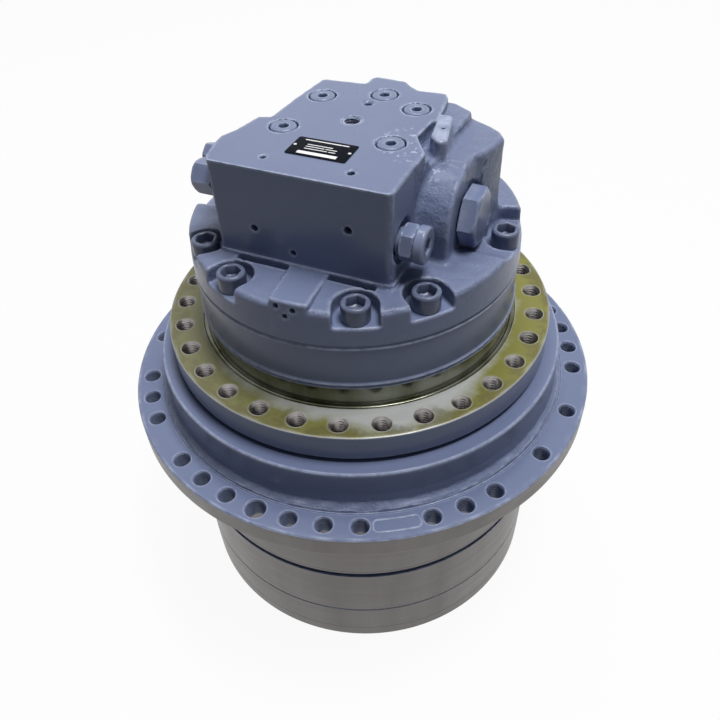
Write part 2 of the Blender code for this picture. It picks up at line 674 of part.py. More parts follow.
def build_casing():
    """Motor casing: frame flange, neck, spindle and the motor's cavity."""
    profile = [
        (BRAKE_BORE_RADIUS, COVER_BASE - FIT),
        (NECK_RADIUS, COVER_BASE - FIT),
        (NECK_RADIUS, FRAME_FACE - NECK_RELIEF_DEPTH),
        (NECK_RADIUS + NECK_RELIEF, FRAME_FACE - NECK_RELIEF_DEPTH),
        (NECK_RADIUS + NECK_RELIEF, FRAME_FACE),
        (FRAME_FLANGE_RADIUS, FRAME_FACE),
        (FRAME_FLANGE_RADIUS, FRAME_FLANGE_BASE),
        (SEAL_BORE_RADIUS, FRAME_FLANGE_BASE),
        (SEAL_BORE_RADIUS, SEAL_ROOF),
        (SEAL_LAND_RADIUS, SEAL_ROOF),
        (SEAL_LAND_RADIUS, UPPER_BEARING_TOP + FIT),
        (SPINDLE_RADIUS, UPPER_BEARING_TOP + FIT),
        (SPINDLE_RADIUS, SPINDLE_END),
        (SOCKET_RADIUS, SPINDLE_END),
        (SOCKET_RADIUS, SOCKET_TOP),
        (SHAFT_SEAL_RADIUS, SOCKET_TOP),
        (SHAFT_SEAL_RADIUS, SOCKET_TOP + SHAFT_SEAL_DEPTH),
        (SHAFT_BEARING_RADIUS, SOCKET_TOP + SHAFT_SEAL_DEPTH),
        (SHAFT_BEARING_RADIUS, MOTOR_FLOOR),
        (CAVITY_RADIUS, MOTOR_FLOOR),
        (CAVITY_RADIUS, BRAKE_SHOULDER),
        (BRAKE_BORE_RADIUS, BRAKE_SHOULDER),
    ]
    casing = turned("motor_casing", profile, DRUM_STEPS, "blue_grey_enamel")
    frame_places = [polar(FRAME_PITCH_RADIUS, 360 * hole / FRAME_HOLES) for hole in range(FRAME_HOLES)]
    frame_holes = drills(
        "frame_holes", frame_places, FRAME_HOLE_RADIUS, FRAME_FACE - FRAME_HOLE_DEPTH, FRAME_FACE + OVERRUN
    )
    combine(casing, frame_holes, "DIFFERENCE")
    screw_places = [polar(SCREW_PITCH_RADIUS, angle) for angle in SCREW_ANGLES]
    screw_holes = drills(
        "screw_holes", screw_places, SCREW_SHANK_RADIUS + RUN,
        SCREW_SEAT - SCREW_REACH - SCREW_HOLE_SPARE, COVER_BASE + OVERRUN,
    )
    combine(casing, screw_holes, "DIFFERENCE")


def build_stage_1():
    """First stage: sun with its stem, planets, and the carrier with its pins."""
    sun = prism(
        "sun_gear_1", gear_outline(SUN_1_TEETH, sun_turn(STAGE_1_TURN, SUN_1_TEETH, PLANET_1_TEETH)),
        STAGE_1_BASE, STAGE_1_BASE + PLANET_1_WIDTH, "gear_steel",
    )
    stem = bmesh.new()
    stem_top = SHAFT_BOTTOM + COUPLING_DEPTH - RUN
    add_prism(stem, circle(STEM_RADIUS, SHAFT_STEPS), STAGE_1_BASE + PLANET_1_WIDTH / 2, stem_top)
    combine(sun, guide("sun_stem", stem), "UNION")
    pin_places = []
    width = PLANET_1_WIDTH
    for number in range(PLANETS_1):
        around = STAGE_1_TURN + 360 * number / PLANETS_1
        centre = polar(CENTRE_1_RADIUS, around)
        pin_places.append(centre)
        turn = planet_turn(around, STAGE_1_TURN, RING_1_TEETH, PLANET_1_TEETH)
        prism(
            f"planet_1_{number + 1}", gear_outline(PLANET_1_TEETH, turn), STAGE_1_BASE,
            STAGE_1_BASE + width, "gear_steel", hole=circle(PIN_1_RADIUS + RUN, SHAFT_STEPS),
            location=(*centre, 0),
        )
    bore = circle(SUN_2_NECK_RADIUS + FIT, SHAFT_STEPS)
    carrier = prism(
        "carrier_1", circle(CARRIER_1_RADIUS, ROLLER_STEPS), CARRIER_1_BASE, CARRIER_1_TOP,
        "bare_steel", hole=bore,
    )
    pins = drills(
        "pins_1", pin_places, PIN_1_RADIUS, STAGE_1_BASE + RUN, CARRIER_1_BASE + CARRIER_1_THICKNESS / 2,
        steps=SHAFT_STEPS,
    )
    combine(carrier, pins, "UNION")


def build_stage_2():
    """Second stage: sun on the first carrier, planets, and the carrier that the spindle holds."""
    sun = prism(
        "sun_gear_2", gear_outline(SUN_2_TEETH, sun_turn(STAGE_2_TURN, SUN_2_TEETH, PLANET_2_TEETH)),
        CARRIER_1_TOP + RUN, STAGE_2_TOP, "gear_steel",
    )
    neck = bmesh.new()
    neck_top = CARRIER_1_TOP + RUN + OVERRUN
    add_prism(neck, circle(SUN_2_NECK_RADIUS, SHAFT_STEPS), CARRIER_1_BASE + RUN, neck_top)
    combine(sun, guide("sun_2_neck", neck), "UNION")
    stem_bore = drills(
        "sun_2_bore", [(0, 0)], STEM_RADIUS + RUN, CARRIER_1_BASE - OVERRUN, STAGE_2_TOP + OVERRUN,
        steps=SHAFT_STEPS,
    )
    combine(sun, stem_bore, "DIFFERENCE")
    pin_places = []
    for number in range(PLANETS_2):
        around = STAGE_2_TURN + 360 * number / PLANETS_2
        centre = polar(CENTRE_2_RADIUS, around)
        pin_places.append(centre)
        turn = planet_turn(around, STAGE_2_TURN, RING_2_TEETH, PLANET_2_TEETH)
        prism(
            f"planet_2_{number + 1}", gear_outline(PLANET_2_TEETH, turn), STAGE_2_TOP - PLANET_2_WIDTH,
            STAGE_2_TOP, "gear_steel", hole=circle(PIN_2_RADIUS + RUN, SHAFT_STEPS),
            location=(*centre, 0),
        )
    carrier = prism(
        "carrier_2", circle(CARRIER_2_RADIUS, DRUM_STEPS), CARRIER_2_BASE, CARRIER_2_TOP, "bare_steel",
    )
    spigot = bmesh.new()
    add_prism(
        spigot, circle(SOCKET_RADIUS - FIT, DRUM_STEPS), CARRIER_2_TOP - CARRIER_2_THICKNESS / 2,
        SOCKET_TOP - FIT,
    )
    combine(carrier, guide("carrier_spigot", spigot), "UNION")
    pins = drills(
        "pins_2", pin_places, PIN_2_RADIUS, STAGE_2_TOP - PLANET_2_WIDTH,
        CARRIER_2_TOP - CARRIER_2_THICKNESS / 3, steps=SHAFT_STEPS,
    )
    combine(carrier, pins, "UNION")
    bore = drills(
        "carrier_2_bore", [(0, 0)], CARRIER_2_BORE, CARRIER_2_BASE - OVERRUN, SOCKET_TOP + OVERRUN,
        steps=SHAFT_STEPS,
    )
    combine(carrier, bore, "DIFFERENCE")


def build_shaft():
    """Motor shaft, its bearing and its seal."""
    socket = STEM_RADIUS + FIT
    journal_top = MOTOR_FLOOR
    coupling_top = SHAFT_BOTTOM + COUPLING_DEPTH
    profile = [
        (0, SHAFT_TOP - SHAFT_END_GAP),
        (SHAFT_TAIL_RADIUS, SHAFT_TOP - SHAFT_END_GAP),
        (SHAFT_TAIL_RADIUS, BARREL_TOP),
        (SHAFT_RADIUS, BARREL_TOP),
        (SHAFT_RADIUS, journal_top),
        (SHAFT_JOURNAL_RADIUS, journal_top),
        (SHAFT_JOURNAL_RADIUS, SHAFT_BOTTOM),
        (socket, SHAFT_BOTTOM),
        (socket, coupling_top),
        (0, coupling_top),
    ]
    turned("drive_shaft", profile, SHAFT_STEPS, "bare_steel")
    bearing_base = SOCKET_TOP + SHAFT_SEAL_DEPTH + FIT
    turned(
        "shaft_bearing",
        ring_profile(
            SHAFT_JOURNAL_RADIUS + RUN, SHAFT_BEARING_RADIUS - RUN, bearing_base,
            bearing_base + SHAFT_BEARING_DEPTH,
        ),
        SHAFT_STEPS, "gear_steel",
    )
    seal_base = SOCKET_TOP + FIT
    turned(
        "shaft_seal",
        ring_profile(
            SHAFT_JOURNAL_RADIUS + RUN, SHAFT_SEAL_RADIUS - RUN, seal_base, seal_base + SHAFT_SEAL_HEIGHT
        ),
        SHAFT_STEPS, "seal_rubber",
    )


def build_motor():
    """Cylinder block, pistons with their shoe plate, valve plate and swash plate."""
    barrel = prism(
        "cylinder_block", circle(BARREL_RADIUS, ROLLER_STEPS), BARREL_BASE, BARREL_TOP, "bare_steel",
        hole=circle(SHAFT_RADIUS + FIT, SHAFT_STEPS),
    )
    places = [polar(PISTON_PITCH_RADIUS, 360 * piston / PISTONS) for piston in range(PISTONS)]
    piston_top = BARREL_BASE + PISTON_REACH
    bores = drills(
        "piston_bores", places, PISTON_RADIUS + FIT, BARREL_BASE - OVERRUN, piston_top + RUN,
        steps=SCREW_STEPS,
    )
    combine(barrel, bores, "DIFFERENCE")
    shoes = prism(
        "piston_set", circle(SHOE_PLATE_RADIUS, ROLLER_STEPS), SHOE_BASE, SHOE_BASE + SHOE_PLATE_THICKNESS,
        "gear_steel", hole=circle(SHAFT_RADIUS + RUN, SHAFT_STEPS),
    )
    pistons = drills(
        "pistons", places, PISTON_RADIUS, SHOE_BASE + SHOE_PLATE_THICKNESS / 2, piston_top,
        steps=SCREW_STEPS,
    )
    combine(shoes, pistons, "UNION")
    valve_plate = turned(
        "valve_plate",
        ring_profile(
            SHAFT_RADIUS + RUN, VALVE_PLATE_RADIUS, VALVE_PLATE_BASE, VALVE_PLATE_BASE + VALVE_PLATE_HEIGHT
        ),
        ROLLER_STEPS, "bronze",
    )
    kidneys = bmesh.new()
    for side in (0, 180):
        add_prism(
            kidneys, kidney_outline(side), VALVE_PLATE_BASE - OVERRUN, COVER_BASE + OVERRUN
        )
    combine(valve_plate, guide("kidneys", kidneys), "DIFFERENCE")
    build_swash_plate()


def kidney_outline(middle):
    """A bent slot round the shaft, for the oil's way in or out."""
    steps = POCKET_STEPS
    inner = KIDNEY_PITCH_RADIUS - KIDNEY_HALF_WIDTH
    outer = KIDNEY_PITCH_RADIUS + KIDNEY_HALF_WIDTH
    angles = [middle - KIDNEY_HALF_ANGLE + 2 * KIDNEY_HALF_ANGLE * step / steps for step in range(steps + 1)]
    return [polar(outer, angle) for angle in angles] + [polar(inner, angle) for angle in angles[::-1]]


def build_swash_plate():
    """Tilting swash plate on two rockers, with its origin on the tilt axis."""
    plate = prism(
        "swash_plate", circle(SWASH_RADIUS, ROLLER_STEPS), -SWASH_BACK, SWASH_FRONT, "bare_steel",
        hole=circle(SWASH_BORE, SHAFT_STEPS),
        location=(0, 0, SWASH_PIVOT), turn=(SWASH_TILT, 0, 0),
    )
    arc = [polar(ROCKER_RADIUS, 180 + 180 * step / SHAFT_STEPS) for step in range(SHAFT_STEPS + 1)]
    rockers = bmesh.new()
    for side in (-1, 1):
        ends = sorted((side * ROCKER_INNER, side * ROCKER_OUTER))
        add_prism(rockers, arc, *ends)
    combine(plate, guide("rockers", lying(rockers), location=(0, 0, SWASH_PIVOT)), "UNION")


def build_brake():
    """Steel disc, friction disc and the piston that clamps them."""
    low = BRAKE_SHOULDER + FIT
    outer = BRAKE_BORE_RADIUS - FIT
    turned(
        "brake_steel_disc", ring_profile(STEEL_DISC_BORE, outer, low, low + DISC_THICKNESS), DRUM_STEPS,
        "bare_steel",
    )
    friction_base = low + DISC_THICKNESS + FIT
    turned(
        "brake_friction_disc",
        ring_profile(
            BARREL_RADIUS + FIT, FRICTION_DISC_RADIUS, friction_base, friction_base + DISC_THICKNESS
        ),
        ROLLER_STEPS, "bronze",
    )
    piston_base = friction_base + DISC_THICKNESS + FIT
    turned(
        "brake_piston",
        ring_profile(BRAKE_PISTON_BORE, outer, piston_base, COVER_BASE - BRAKE_SPRING_ROOM), DRUM_STEPS,
        "bare_steel",
    )


def pocket_outline(degrees):
    """The open pocket round a cover screw: round towards the axis, straight out through the rim."""
    inward = degrees + 90
    arc = [
        polar(POCKET_RADIUS, inward + 180 * step / POCKET_STEPS) for step in range(POCKET_STEPS + 1)
    ]
    reach = COVER_RADIUS - SCREW_PITCH_RADIUS + OVERRUN
    out = polar(reach, degrees)
    ends = [(arc[-1][0] + out[0], arc[-1][1] + out[1]), (arc[0][0] + out[0], arc[0][1] + out[1])]
    centre = polar(SCREW_PITCH_RADIUS, degrees)
    return [(x + centre[0], y + centre[1]) for x, y in arc + ends]


def build_cover():
    """Motor cover: flange with its screw pockets, valve block, bosses and the ear behind the cap."""
    profile = [
        (0, PAD_TOP),
        (PAD_FOOT_RADIUS, PAD_TOP),
        (COVER_RADIUS - COVER_EDGE, PAD_TOP - RIM_DROP),
        (COVER_RADIUS, PAD_TOP - RIM_DROP - COVER_EDGE),
        (COVER_RADIUS, COVER_BASE),
        (0, COVER_BASE),
    ]
    cover = turned("motor_cover", profile, DRUM_STEPS, "blue_grey_enamel")
    block = bmesh.new()
    outline = [(BLOCK_SIDE * x, BLOCK_FRONT_REACH * y) for x, y in BLOCK_OUTLINE_SHARES]
    add_prism(block, outline, BLOCK_LOW, BLOCK_TOP)
    combine(cover, guide("valve_block", block), "UNION")
    bosses = bmesh.new()
    for side, radius in ((-1, BOSS_LEFT_RADIUS), (1, BOSS_RADIUS)):
        ends = sorted((side * BOSS_ROOT, side * BOSS_REACH))
        add_prism(bosses, boss_outline(radius), *ends)
    combine(cover, guide("bosses", lying(bosses), location=(0, SPOOL_ROW, SPOOL_LEVEL)), "UNION")
    ear = bmesh.new()
    outline = [(BOSS_REACH * x, BLOCK_FRONT_REACH * y) for x, y in EAR_OUTLINE_SHARES]
    add_prism(ear, outline, BLOCK_LOW, PAD_TOP + EAR_HEIGHT)
    combine(cover, guide("ear", ear), "UNION")
    shelf = bmesh.new()
    outline = [(BLOCK_SIDE * x, BLOCK_FRONT_REACH * y) for x, y in SHELF_OUTLINE_SHARES]
    add_prism(shelf, outline, BLOCK_LOW, PAD_TOP + SHELF_HEIGHT)
    combine(cover, guide("shelf", shelf), "UNION")
    pockets = bmesh.new()
    for degrees in SCREW_ANGLES:
        add_prism(pockets, pocket_outline(degrees), SCREW_SEAT, PAD_TOP + EAR_HEIGHT + OVERRUN)
    combine(cover, guide("screw_pockets", pockets), "DIFFERENCE")
    cut_cover_holes(cover)


def boss_outline(radius):
    """A boss seen along X: round above the spool's axis, and straight down to the flange below it."""
    steps = BOSS_STEPS // 2
    arch = [polar(radius, 180 * step / steps) for step in range(steps + 1)]
    foot = BLOCK_LOW - SPOOL_LEVEL
    return arch + [(-radius, foot), (radius, foot)]


def cut_cover_holes(cover):
    """Screw holes, gallery plug seats, lifting hole, shaft bore, spool bore and relief valve holes."""
    screw_places = [polar(SCREW_PITCH_RADIUS, angle) for angle in SCREW_ANGLES]
    combine(
        cover,
        drills(
            "cover_screw_holes", screw_places, SCREW_SHANK_RADIUS + RUN, COVER_BASE - OVERRUN,
            SCREW_SEAT + OVERRUN,
        ),
        "DIFFERENCE",
    )
    plug_places = [(BLOCK_SIDE * x, BLOCK_FRONT_REACH * y) for x, y in GALLERY_SHARES]
    combine(
        cover,
        drills(
            "gallery_seats", plug_places, GALLERY_PLUG_RADIUS + FIT,
            BLOCK_TOP - GALLERY_PLUG_HEIGHT - FIT, BLOCK_TOP + OVERRUN, steps=PLUG_STEPS,
        ),
        "DIFFERENCE",
    )
    combine(
        cover,
        drills(
            "lifting_hole", [(0, 0)], LIFT_HOLE_RADIUS, BLOCK_TOP - LIFT_HOLE_DEPTH, BLOCK_TOP + OVERRUN,
            steps=SCREW_STEPS,
        ),
        "DIFFERENCE",
    )
    combine(
        cover,
        drills(
            "tail_bore", [(0, 0)], SHAFT_TAIL_RADIUS + RUN, COVER_BASE - OVERRUN, SHAFT_TOP,
            steps=SHAFT_STEPS,
        ),
        "DIFFERENCE",
    )
    spool_bore = bmesh.new()
    reach = BOSS_REACH + OVERRUN
    add_prism(spool_bore, circle(SPOOL_RADIUS + FIT, SHAFT_STEPS), -reach, reach)
    axis = (0, SPOOL_ROW, SPOOL_LEVEL)
    combine(cover, guide("spool_bore", lying(spool_bore), location=axis), "DIFFERENCE")
    cap_bores = bmesh.new()
    cap_floor = SPOOL_HALF_LENGTH + SPOOL_TRAVEL
    for side in (-1, 1):
        ends = sorted((side * cap_floor, side * reach))
        add_prism(cap_bores, circle(CAP_STEM_RADIUS + FIT, SHAFT_STEPS), *ends)
    combine(cover, guide("cap_bores", lying(cap_bores), location=axis), "DIFFERENCE")
    spot_faces = bmesh.new()
    for side in (-1, 1):
        ends = sorted((side * BOSS_REACH, side * (BOSS_REACH + CAP_HEX_LENGTH + OVERRUN)))
        add_prism(spot_faces, circle(CAP_HEX_RADIUS + CAP_SPOT_MARGIN, SHAFT_STEPS), *ends)
    combine(cover, guide("spot_faces", lying(spot_faces), location=axis), "DIFFERENCE")
    relief_bores = bmesh.new()
    depth = RELIEF_STEM_LENGTH + FIT
    for side, level in RELIEF_PLACES:
        way = math.copysign(1, side)
        ends = sorted((side - way * depth, side + way * depth))
        add_prism(
            relief_bores, circle(RELIEF_STEM_RADIUS + FIT, SCREW_STEPS, (RELIEF_ROW, level)), *ends
        )
    combine(cover, guide("relief_bores", lying(relief_bores)), "DIFFERENCE")
    port_bore = bmesh.new()
    inner, outer = [BLOCK_SIDE * share for share in PORT_PLUG_SHARES]
    add_prism(port_bore, circle(PORT_PLUG_RADIUS + FIT, SCREW_STEPS), outer, inner + FIT)
    combine(cover, guide("port_bore", lying(port_bore), location=PORT_PLUG_AXIS), "DIFFERENCE")


def build_screws():
    """Socket head cap screws that hold the cover to the casing."""
    base = SCREW_SEAT + FIT
    head = prism(
        "screw_pattern", circle(SCREW_HEAD_RADIUS, SCREW_STEPS), base, base + SCREW_HEAD_HEIGHT,
        "blue_grey_enamel",
    )
    shank = bmesh.new()
    add_prism(
        shank, circle(SCREW_SHANK_RADIUS, HOLE_STEPS), SCREW_SEAT - SCREW_REACH,
        base + SCREW_HEAD_HEIGHT / 4,
    )
    combine(head, guide("screw_shank", shank), "UNION")
    socket = drills(
        "screw_socket", [(0, 0)], SCREW_HEX_RADIUS, base + SCREW_HEAD_HEIGHT - SCREW_HEX_DEPTH,
        base + SCREW_HEAD_HEIGHT + OVERRUN, steps=6,
    )
    combine(head, socket, "DIFFERENCE")
    mesh = settled(head)
    bpy.data.objects.remove(head)
    for number, degrees in enumerate(SCREW_ANGLES):
        spot = (*polar(SCREW_PITCH_RADIUS, degrees), 0)
        name = f"cover_screw_{number + 1:02d}"
        place(name, mesh, "blue_grey_enamel", location=spot, turn=(0, 0, degrees))


def build_cover_plugs():
    """Gallery plugs and the name plate on the top face."""
    mesh = socket_plug_mesh("gallery_plug", GALLERY_PLUG_RADIUS, GALLERY_PLUG_HEIGHT)
    mesh.materials.clear()
    mesh.materials.append(finish("blue_grey_enamel"))
    for number, (x, y) in enumerate(GALLERY_SHARES):
        spot = (BLOCK_SIDE * x, BLOCK_FRONT_REACH * y, BLOCK_TOP - GALLERY_PLUG_HEIGHT)
        place(f"gallery_plug_{number + 1}", mesh, "blue_grey_enamel", location=spot)
    half_width = PLATE_WIDTH / 2
    half_depth = PLATE_DEPTH / 2
    corners = [
        (-half_width, PLATE_ROW - half_depth), (half_width, PLATE_ROW - half_depth),
        (half_width, PLATE_ROW + half_depth), (-half_width, PLATE_ROW + half_depth),
    ]
    prism("name_plate", corners, BLOCK_TOP + FIT, BLOCK_TOP + FIT + PLATE_THICKNESS, "black_plate")


def build_spool():
    """Counterbalance spool along X, and the two hexagon caps of its bore."""
    shares = (-SPOOL_WAIST_SHARES[1], -SPOOL_WAIST_SHARES[0], SPOOL_WAIST_SHARES[0], SPOOL_WAIST_SHARES[1])
    waists = [SPOOL_HALF_LENGTH * share for share in shares]
    profile = [(0, SPOOL_HALF_LENGTH), (SPOOL_RADIUS, SPOOL_HALF_LENGTH)]
    for high, low in ((waists[3], waists[2]), (waists[1], waists[0])):
        profile += [
            (SPOOL_RADIUS, high), (SPOOL_WAIST_RADIUS, high), (SPOOL_WAIST_RADIUS, low), (SPOOL_RADIUS, low),
        ]
    profile += [(SPOOL_RADIUS, -SPOOL_HALF_LENGTH), (0, -SPOOL_HALF_LENGTH)]
    axis = (0, SPOOL_ROW, SPOOL_LEVEL)
    spool = lying(turned_shape(profile, SHAFT_STEPS))
    place("counterbalance_spool", to_mesh(spool, "counterbalance_spool"), "bare_steel", location=axis)
    for name, side in (("spool_cap_right", 1), ("spool_cap_left", -1)):
        hexagon = bmesh.new()
        ends = sorted((side * (BOSS_REACH + FIT), side * (BOSS_REACH + CAP_HEX_LENGTH)))
        add_prism(hexagon, circle(CAP_HEX_RADIUS, 6), *ends)
        cap = place(name, to_mesh(lying(hexagon), name), "blue_grey_enamel", location=axis)
        stem = bmesh.new()
        inner = SPOOL_HALF_LENGTH + SPOOL_TRAVEL + FIT
        ends = sorted((side * inner, side * (BOSS_REACH + CAP_HEX_LENGTH / 2)))
        add_prism(stem, circle(CAP_STEM_RADIUS, SHAFT_STEPS), *ends)
        combine(cap, guide(name + "_stem", lying(stem), location=axis), "UNION")


def build_side_plugs():
    """The two relief valves' plugs, each a hexagon with a round end and a stem, and the port plug."""
    for name, (face, level) in zip(("relief_plug_right", "relief_plug_left"), RELIEF_PLACES):
        way = math.copysign(1, face)
        side = abs(face)
        hexagon = bmesh.new()
        hex_end = side + RELIEF_HEX_LENGTH
        add_prism(hexagon, circle(RELIEF_HEX_RADIUS, 6), *sorted((way * (side + FIT), way * hex_end)))
        spot = (0, RELIEF_ROW, level)
        plug = place(name, to_mesh(lying(hexagon), name), "blue_grey_enamel", location=spot)
        middle = side + RELIEF_HEX_LENGTH / 2
        for label, radius, low, high, steps in (
            ("_end", RELIEF_END_RADIUS, middle, hex_end + RELIEF_END_LENGTH, PLUG_STEPS),
            ("_stem", RELIEF_STEM_RADIUS, side - RELIEF_STEM_LENGTH, middle, SCREW_STEPS),
        ):
            shape = bmesh.new()
            add_prism(shape, circle(radius, steps), *sorted((way * low, way * high)))
            combine(plug, guide(name + label, lying(shape), location=spot), "UNION")
    inner, outer = [BLOCK_SIDE * share for share in PORT_PLUG_SHARES]
    shape = bmesh.new()
    add_prism(shape, circle(PORT_PLUG_RADIUS, SCREW_STEPS), outer, inner)
    mesh = to_mesh(lying(shape), "test_port_plug")
    plug = place("test_port_plug", mesh, "blue_grey_enamel", location=PORT_PLUG_AXIS)
    socket = bmesh.new()
    depth = SOCKET_SHARE * PORT_PLUG_RADIUS
    add_prism(socket, circle(depth, 6), outer - OVERRUN, outer + depth)
    combine(plug, guide("port_socket", lying(socket), location=PORT_PLUG_AXIS), "DIFFERENCE")


def main():
    """Clears the scene and builds the drive, from the floor up."""
    for item in list(bpy.data.objects):
        bpy.data.objects.remove(item)
    build_end_cover()
    build_ring_gears()
    build_hub()
    build_seal()
    build_bearings()
    build_casing()
    build_stage_1()
    build_stage_2()
    build_shaft()
    build_motor()
    build_brake()
    build_cover()
    build_screws()
    build_cover_plugs()
    build_spool()
    build_side_plugs()


main()
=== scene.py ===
"""Dressed view of an excavator final drive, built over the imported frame.

Every length is in metres in the frame's own axes: the drive stands on its end cover, +Z runs up the axis that
the hub turns about, and the flat front of the valve block faces -Y. Each sub-assembly is a class that holds
its sizes and builds its own surfaces, and each finish is a small class that builds one node material.
"""

import logging
import math
from dataclasses import dataclass, field
from enum import Enum

import bmesh
import bpy
import numpy as np
from mathutils import Matrix, Vector

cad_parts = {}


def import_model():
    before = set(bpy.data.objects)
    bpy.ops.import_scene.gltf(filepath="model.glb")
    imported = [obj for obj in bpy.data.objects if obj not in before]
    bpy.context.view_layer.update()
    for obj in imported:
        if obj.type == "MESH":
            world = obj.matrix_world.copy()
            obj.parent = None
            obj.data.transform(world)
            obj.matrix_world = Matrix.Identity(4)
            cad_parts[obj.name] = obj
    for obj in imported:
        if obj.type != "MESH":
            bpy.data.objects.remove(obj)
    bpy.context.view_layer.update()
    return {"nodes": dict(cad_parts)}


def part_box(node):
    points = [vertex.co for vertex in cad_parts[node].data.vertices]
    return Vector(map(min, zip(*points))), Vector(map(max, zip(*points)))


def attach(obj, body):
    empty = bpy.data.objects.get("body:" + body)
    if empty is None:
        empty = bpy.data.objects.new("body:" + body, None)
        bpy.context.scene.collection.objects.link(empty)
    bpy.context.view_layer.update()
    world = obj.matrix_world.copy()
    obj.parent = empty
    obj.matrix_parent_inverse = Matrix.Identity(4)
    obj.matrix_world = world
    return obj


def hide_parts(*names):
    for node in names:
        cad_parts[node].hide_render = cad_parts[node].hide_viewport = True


LOG = logging.getLogger("final_drive")
TURN = 2 * math.pi
FLAT = 1.0
WELD = 4e-6
CREASE = math.radians(34)
COVER_TOP = 0.5105
GALLERY_SPOTS = ((-0.0446, 0.0385), (-0.0493, -0.0260), (0.0066, 0.0577), (0.0432, 0.0394), (0.0454, -0.0251))
LIFTING_SPOT = (0.0, 0.002)
SPOOL_AXIS = (-0.008, 0.449)
RELIEF_RIGHT = (-0.075, 0.458)
RELIEF_LEFT = (-0.075, 0.481)
PORT_AXIS = (-0.046, 0.484)
Colour = tuple[float, float, float, float]
Triple = tuple[float, float, float]
Socket = bpy.types.NodeSocket


class Body(Enum):
    """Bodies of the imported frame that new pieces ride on."""

    CASING = "casing"
    HUB = "hub"


class Slot(Enum):
    """Material slots of the record."""

    ENAMEL = "blue_grey_enamel"
    DRUM = "drum_enamel"
    STEEL = "bare_steel"
    GEAR = "gear_steel"
    BRONZE = "bronze"
    RUBBER = "seal_rubber"
    PLATE = "black_plate"


class Sheet:
    """Node material with short calls for the nodes that the finishes share."""

    def __init__(self, name: str) -> None:
        """Start a material.

        Args:
            name: name of the material.
        """
        self.material = bpy.data.materials.new(name)
        self.material.use_nodes = True
        self.tree = self.material.node_tree
        self.shader = self.tree.nodes["Principled BSDF"]
        coordinates = self.tree.nodes.new("ShaderNodeTexCoord")
        self.place = coordinates.outputs["Object"]

    def node(self, kind: str, settings: dict, inputs: dict) -> bpy.types.Node:
        """Add a node.

        Args:
            kind: Blender's identifier of the node.
            settings: attributes of the node by name.
            inputs: values or sockets by the input's name or number.

        Returns:
            The new node.
        """
        node = self.tree.nodes.new(kind)
        for key, value in settings.items():
            setattr(node, key, value)
        for key, value in inputs.items():
            if isinstance(value, bpy.types.NodeSocket):
                self.tree.links.new(value, node.inputs[key])
            else:
                node.inputs[key].default_value = value
        return node

    def noise(self, scale: float, detail: float, vector: Socket | None = None, rough: float = 0.55) -> Socket:
        """Noise of a scale per metre, from 0 to 1."""
        inputs = {"Vector": vector or self.place, "Scale": scale, "Detail": detail, "Roughness": rough}
        return self.node("ShaderNodeTexNoise", {}, inputs).outputs["Fac"]

    def spread(self, value: Socket, low: float, high: float, to_low: float, to_high: float) -> Socket:
        """A value carried from one range to another and held inside it."""
        inputs = {"Value": value, "From Min": low, "From Max": high, "To Min": to_low, "To Max": to_high}
        return self.node("ShaderNodeMapRange", {}, inputs).outputs["Result"]

    def sum(self, kind: str, one: float | Socket, two: float | Socket) -> Socket:
        """One arithmetic operation on two values."""
        return self.node("ShaderNodeMath", {"operation": kind}, {0: one, 1: two}).outputs[0]

    def blend(self, amount: Socket, one: Colour | Socket, two: Colour | Socket) -> Socket:
        """Colour between two colours.

        Args:
            amount: share of the second colour.
            one: first colour.
            two: second colour.

        Returns:
            The mixed colour's socket.
        """
        node = self.node("ShaderNodeMix", {"data_type": "RGBA"}, {})
        for socket, value in ((node.inputs[0], amount), (node.inputs[6], one), (node.inputs[7], two)):
            if isinstance(value, bpy.types.NodeSocket):
                self.tree.links.new(value, socket)
            else:
                socket.default_value = value
        return node.outputs[2]

    def attribute(self, name: str) -> Socket:
        """Value of a vertex attribute, or 0 on a mesh without it."""
        return self.node("ShaderNodeAttribute", {"attribute_name": name}, {}).outputs["Fac"]

    def lathe_place(self, fineness: float) -> Socket:
        """Position as (radius, height, a little of x), for marks that run round the Z axis.

        Args:
            fineness: metres of x for one step of the third number.

        Returns:
            The position's socket.
        """
        parts = self.node("ShaderNodeSeparateXYZ", {}, {"Vector": self.place})
        flat = self.node("ShaderNodeCombineXYZ", {}, {"X": parts.outputs["X"], "Y": parts.outputs["Y"]})
        radius = self.node("ShaderNodeVectorMath", {"operation": "LENGTH"}, {0: flat.outputs[0]})
        slow = self.sum("MULTIPLY", parts.outputs["X"], 1 / fineness)
        inputs = {"X": radius.outputs["Value"], "Y": parts.outputs["Z"], "Z": slow}
        return self.node("ShaderNodeCombineXYZ", {}, inputs).outputs[0]

    def upright(self) -> Socket:
        """Position with most of its height taken out, for soft upright bands of painted reflection."""
        inputs = {0: self.place, 1: (1.0, 1.0, 0.12)}
        return self.node("ShaderNodeVectorMath", {"operation": "MULTIPLY"}, inputs).outputs[0]

    def bump(
        self, height: Socket, distance: float, strength: float | Socket = 1.0, below: Socket | None = None
    ) -> Socket:
        """Bumped normal.

        Args:
            height: height from 0 to 1.
            distance: metres of a height of 1.
            strength: share of the bump that shows.
            below: normal of a bump underneath.

        Returns:
            The normal's socket.
        """
        inputs = {"Height": height, "Distance": distance, "Strength": strength}
        if below is not None:
            inputs["Normal"] = below
        return self.node("ShaderNodeBump", {}, inputs).outputs["Normal"]

    def feed(self, **sockets: float | Colour | Socket) -> None:
        """Set or link sockets of the shader, named with underscores for spaces.

        Args:
            **sockets: values or sockets by the shader input's name.
        """
        for key, value in sockets.items():
            socket = self.shader.inputs[key.replace("_", " ")]
            if isinstance(value, bpy.types.NodeSocket):
                self.tree.links.new(value, socket)
            else:
                socket.default_value = value


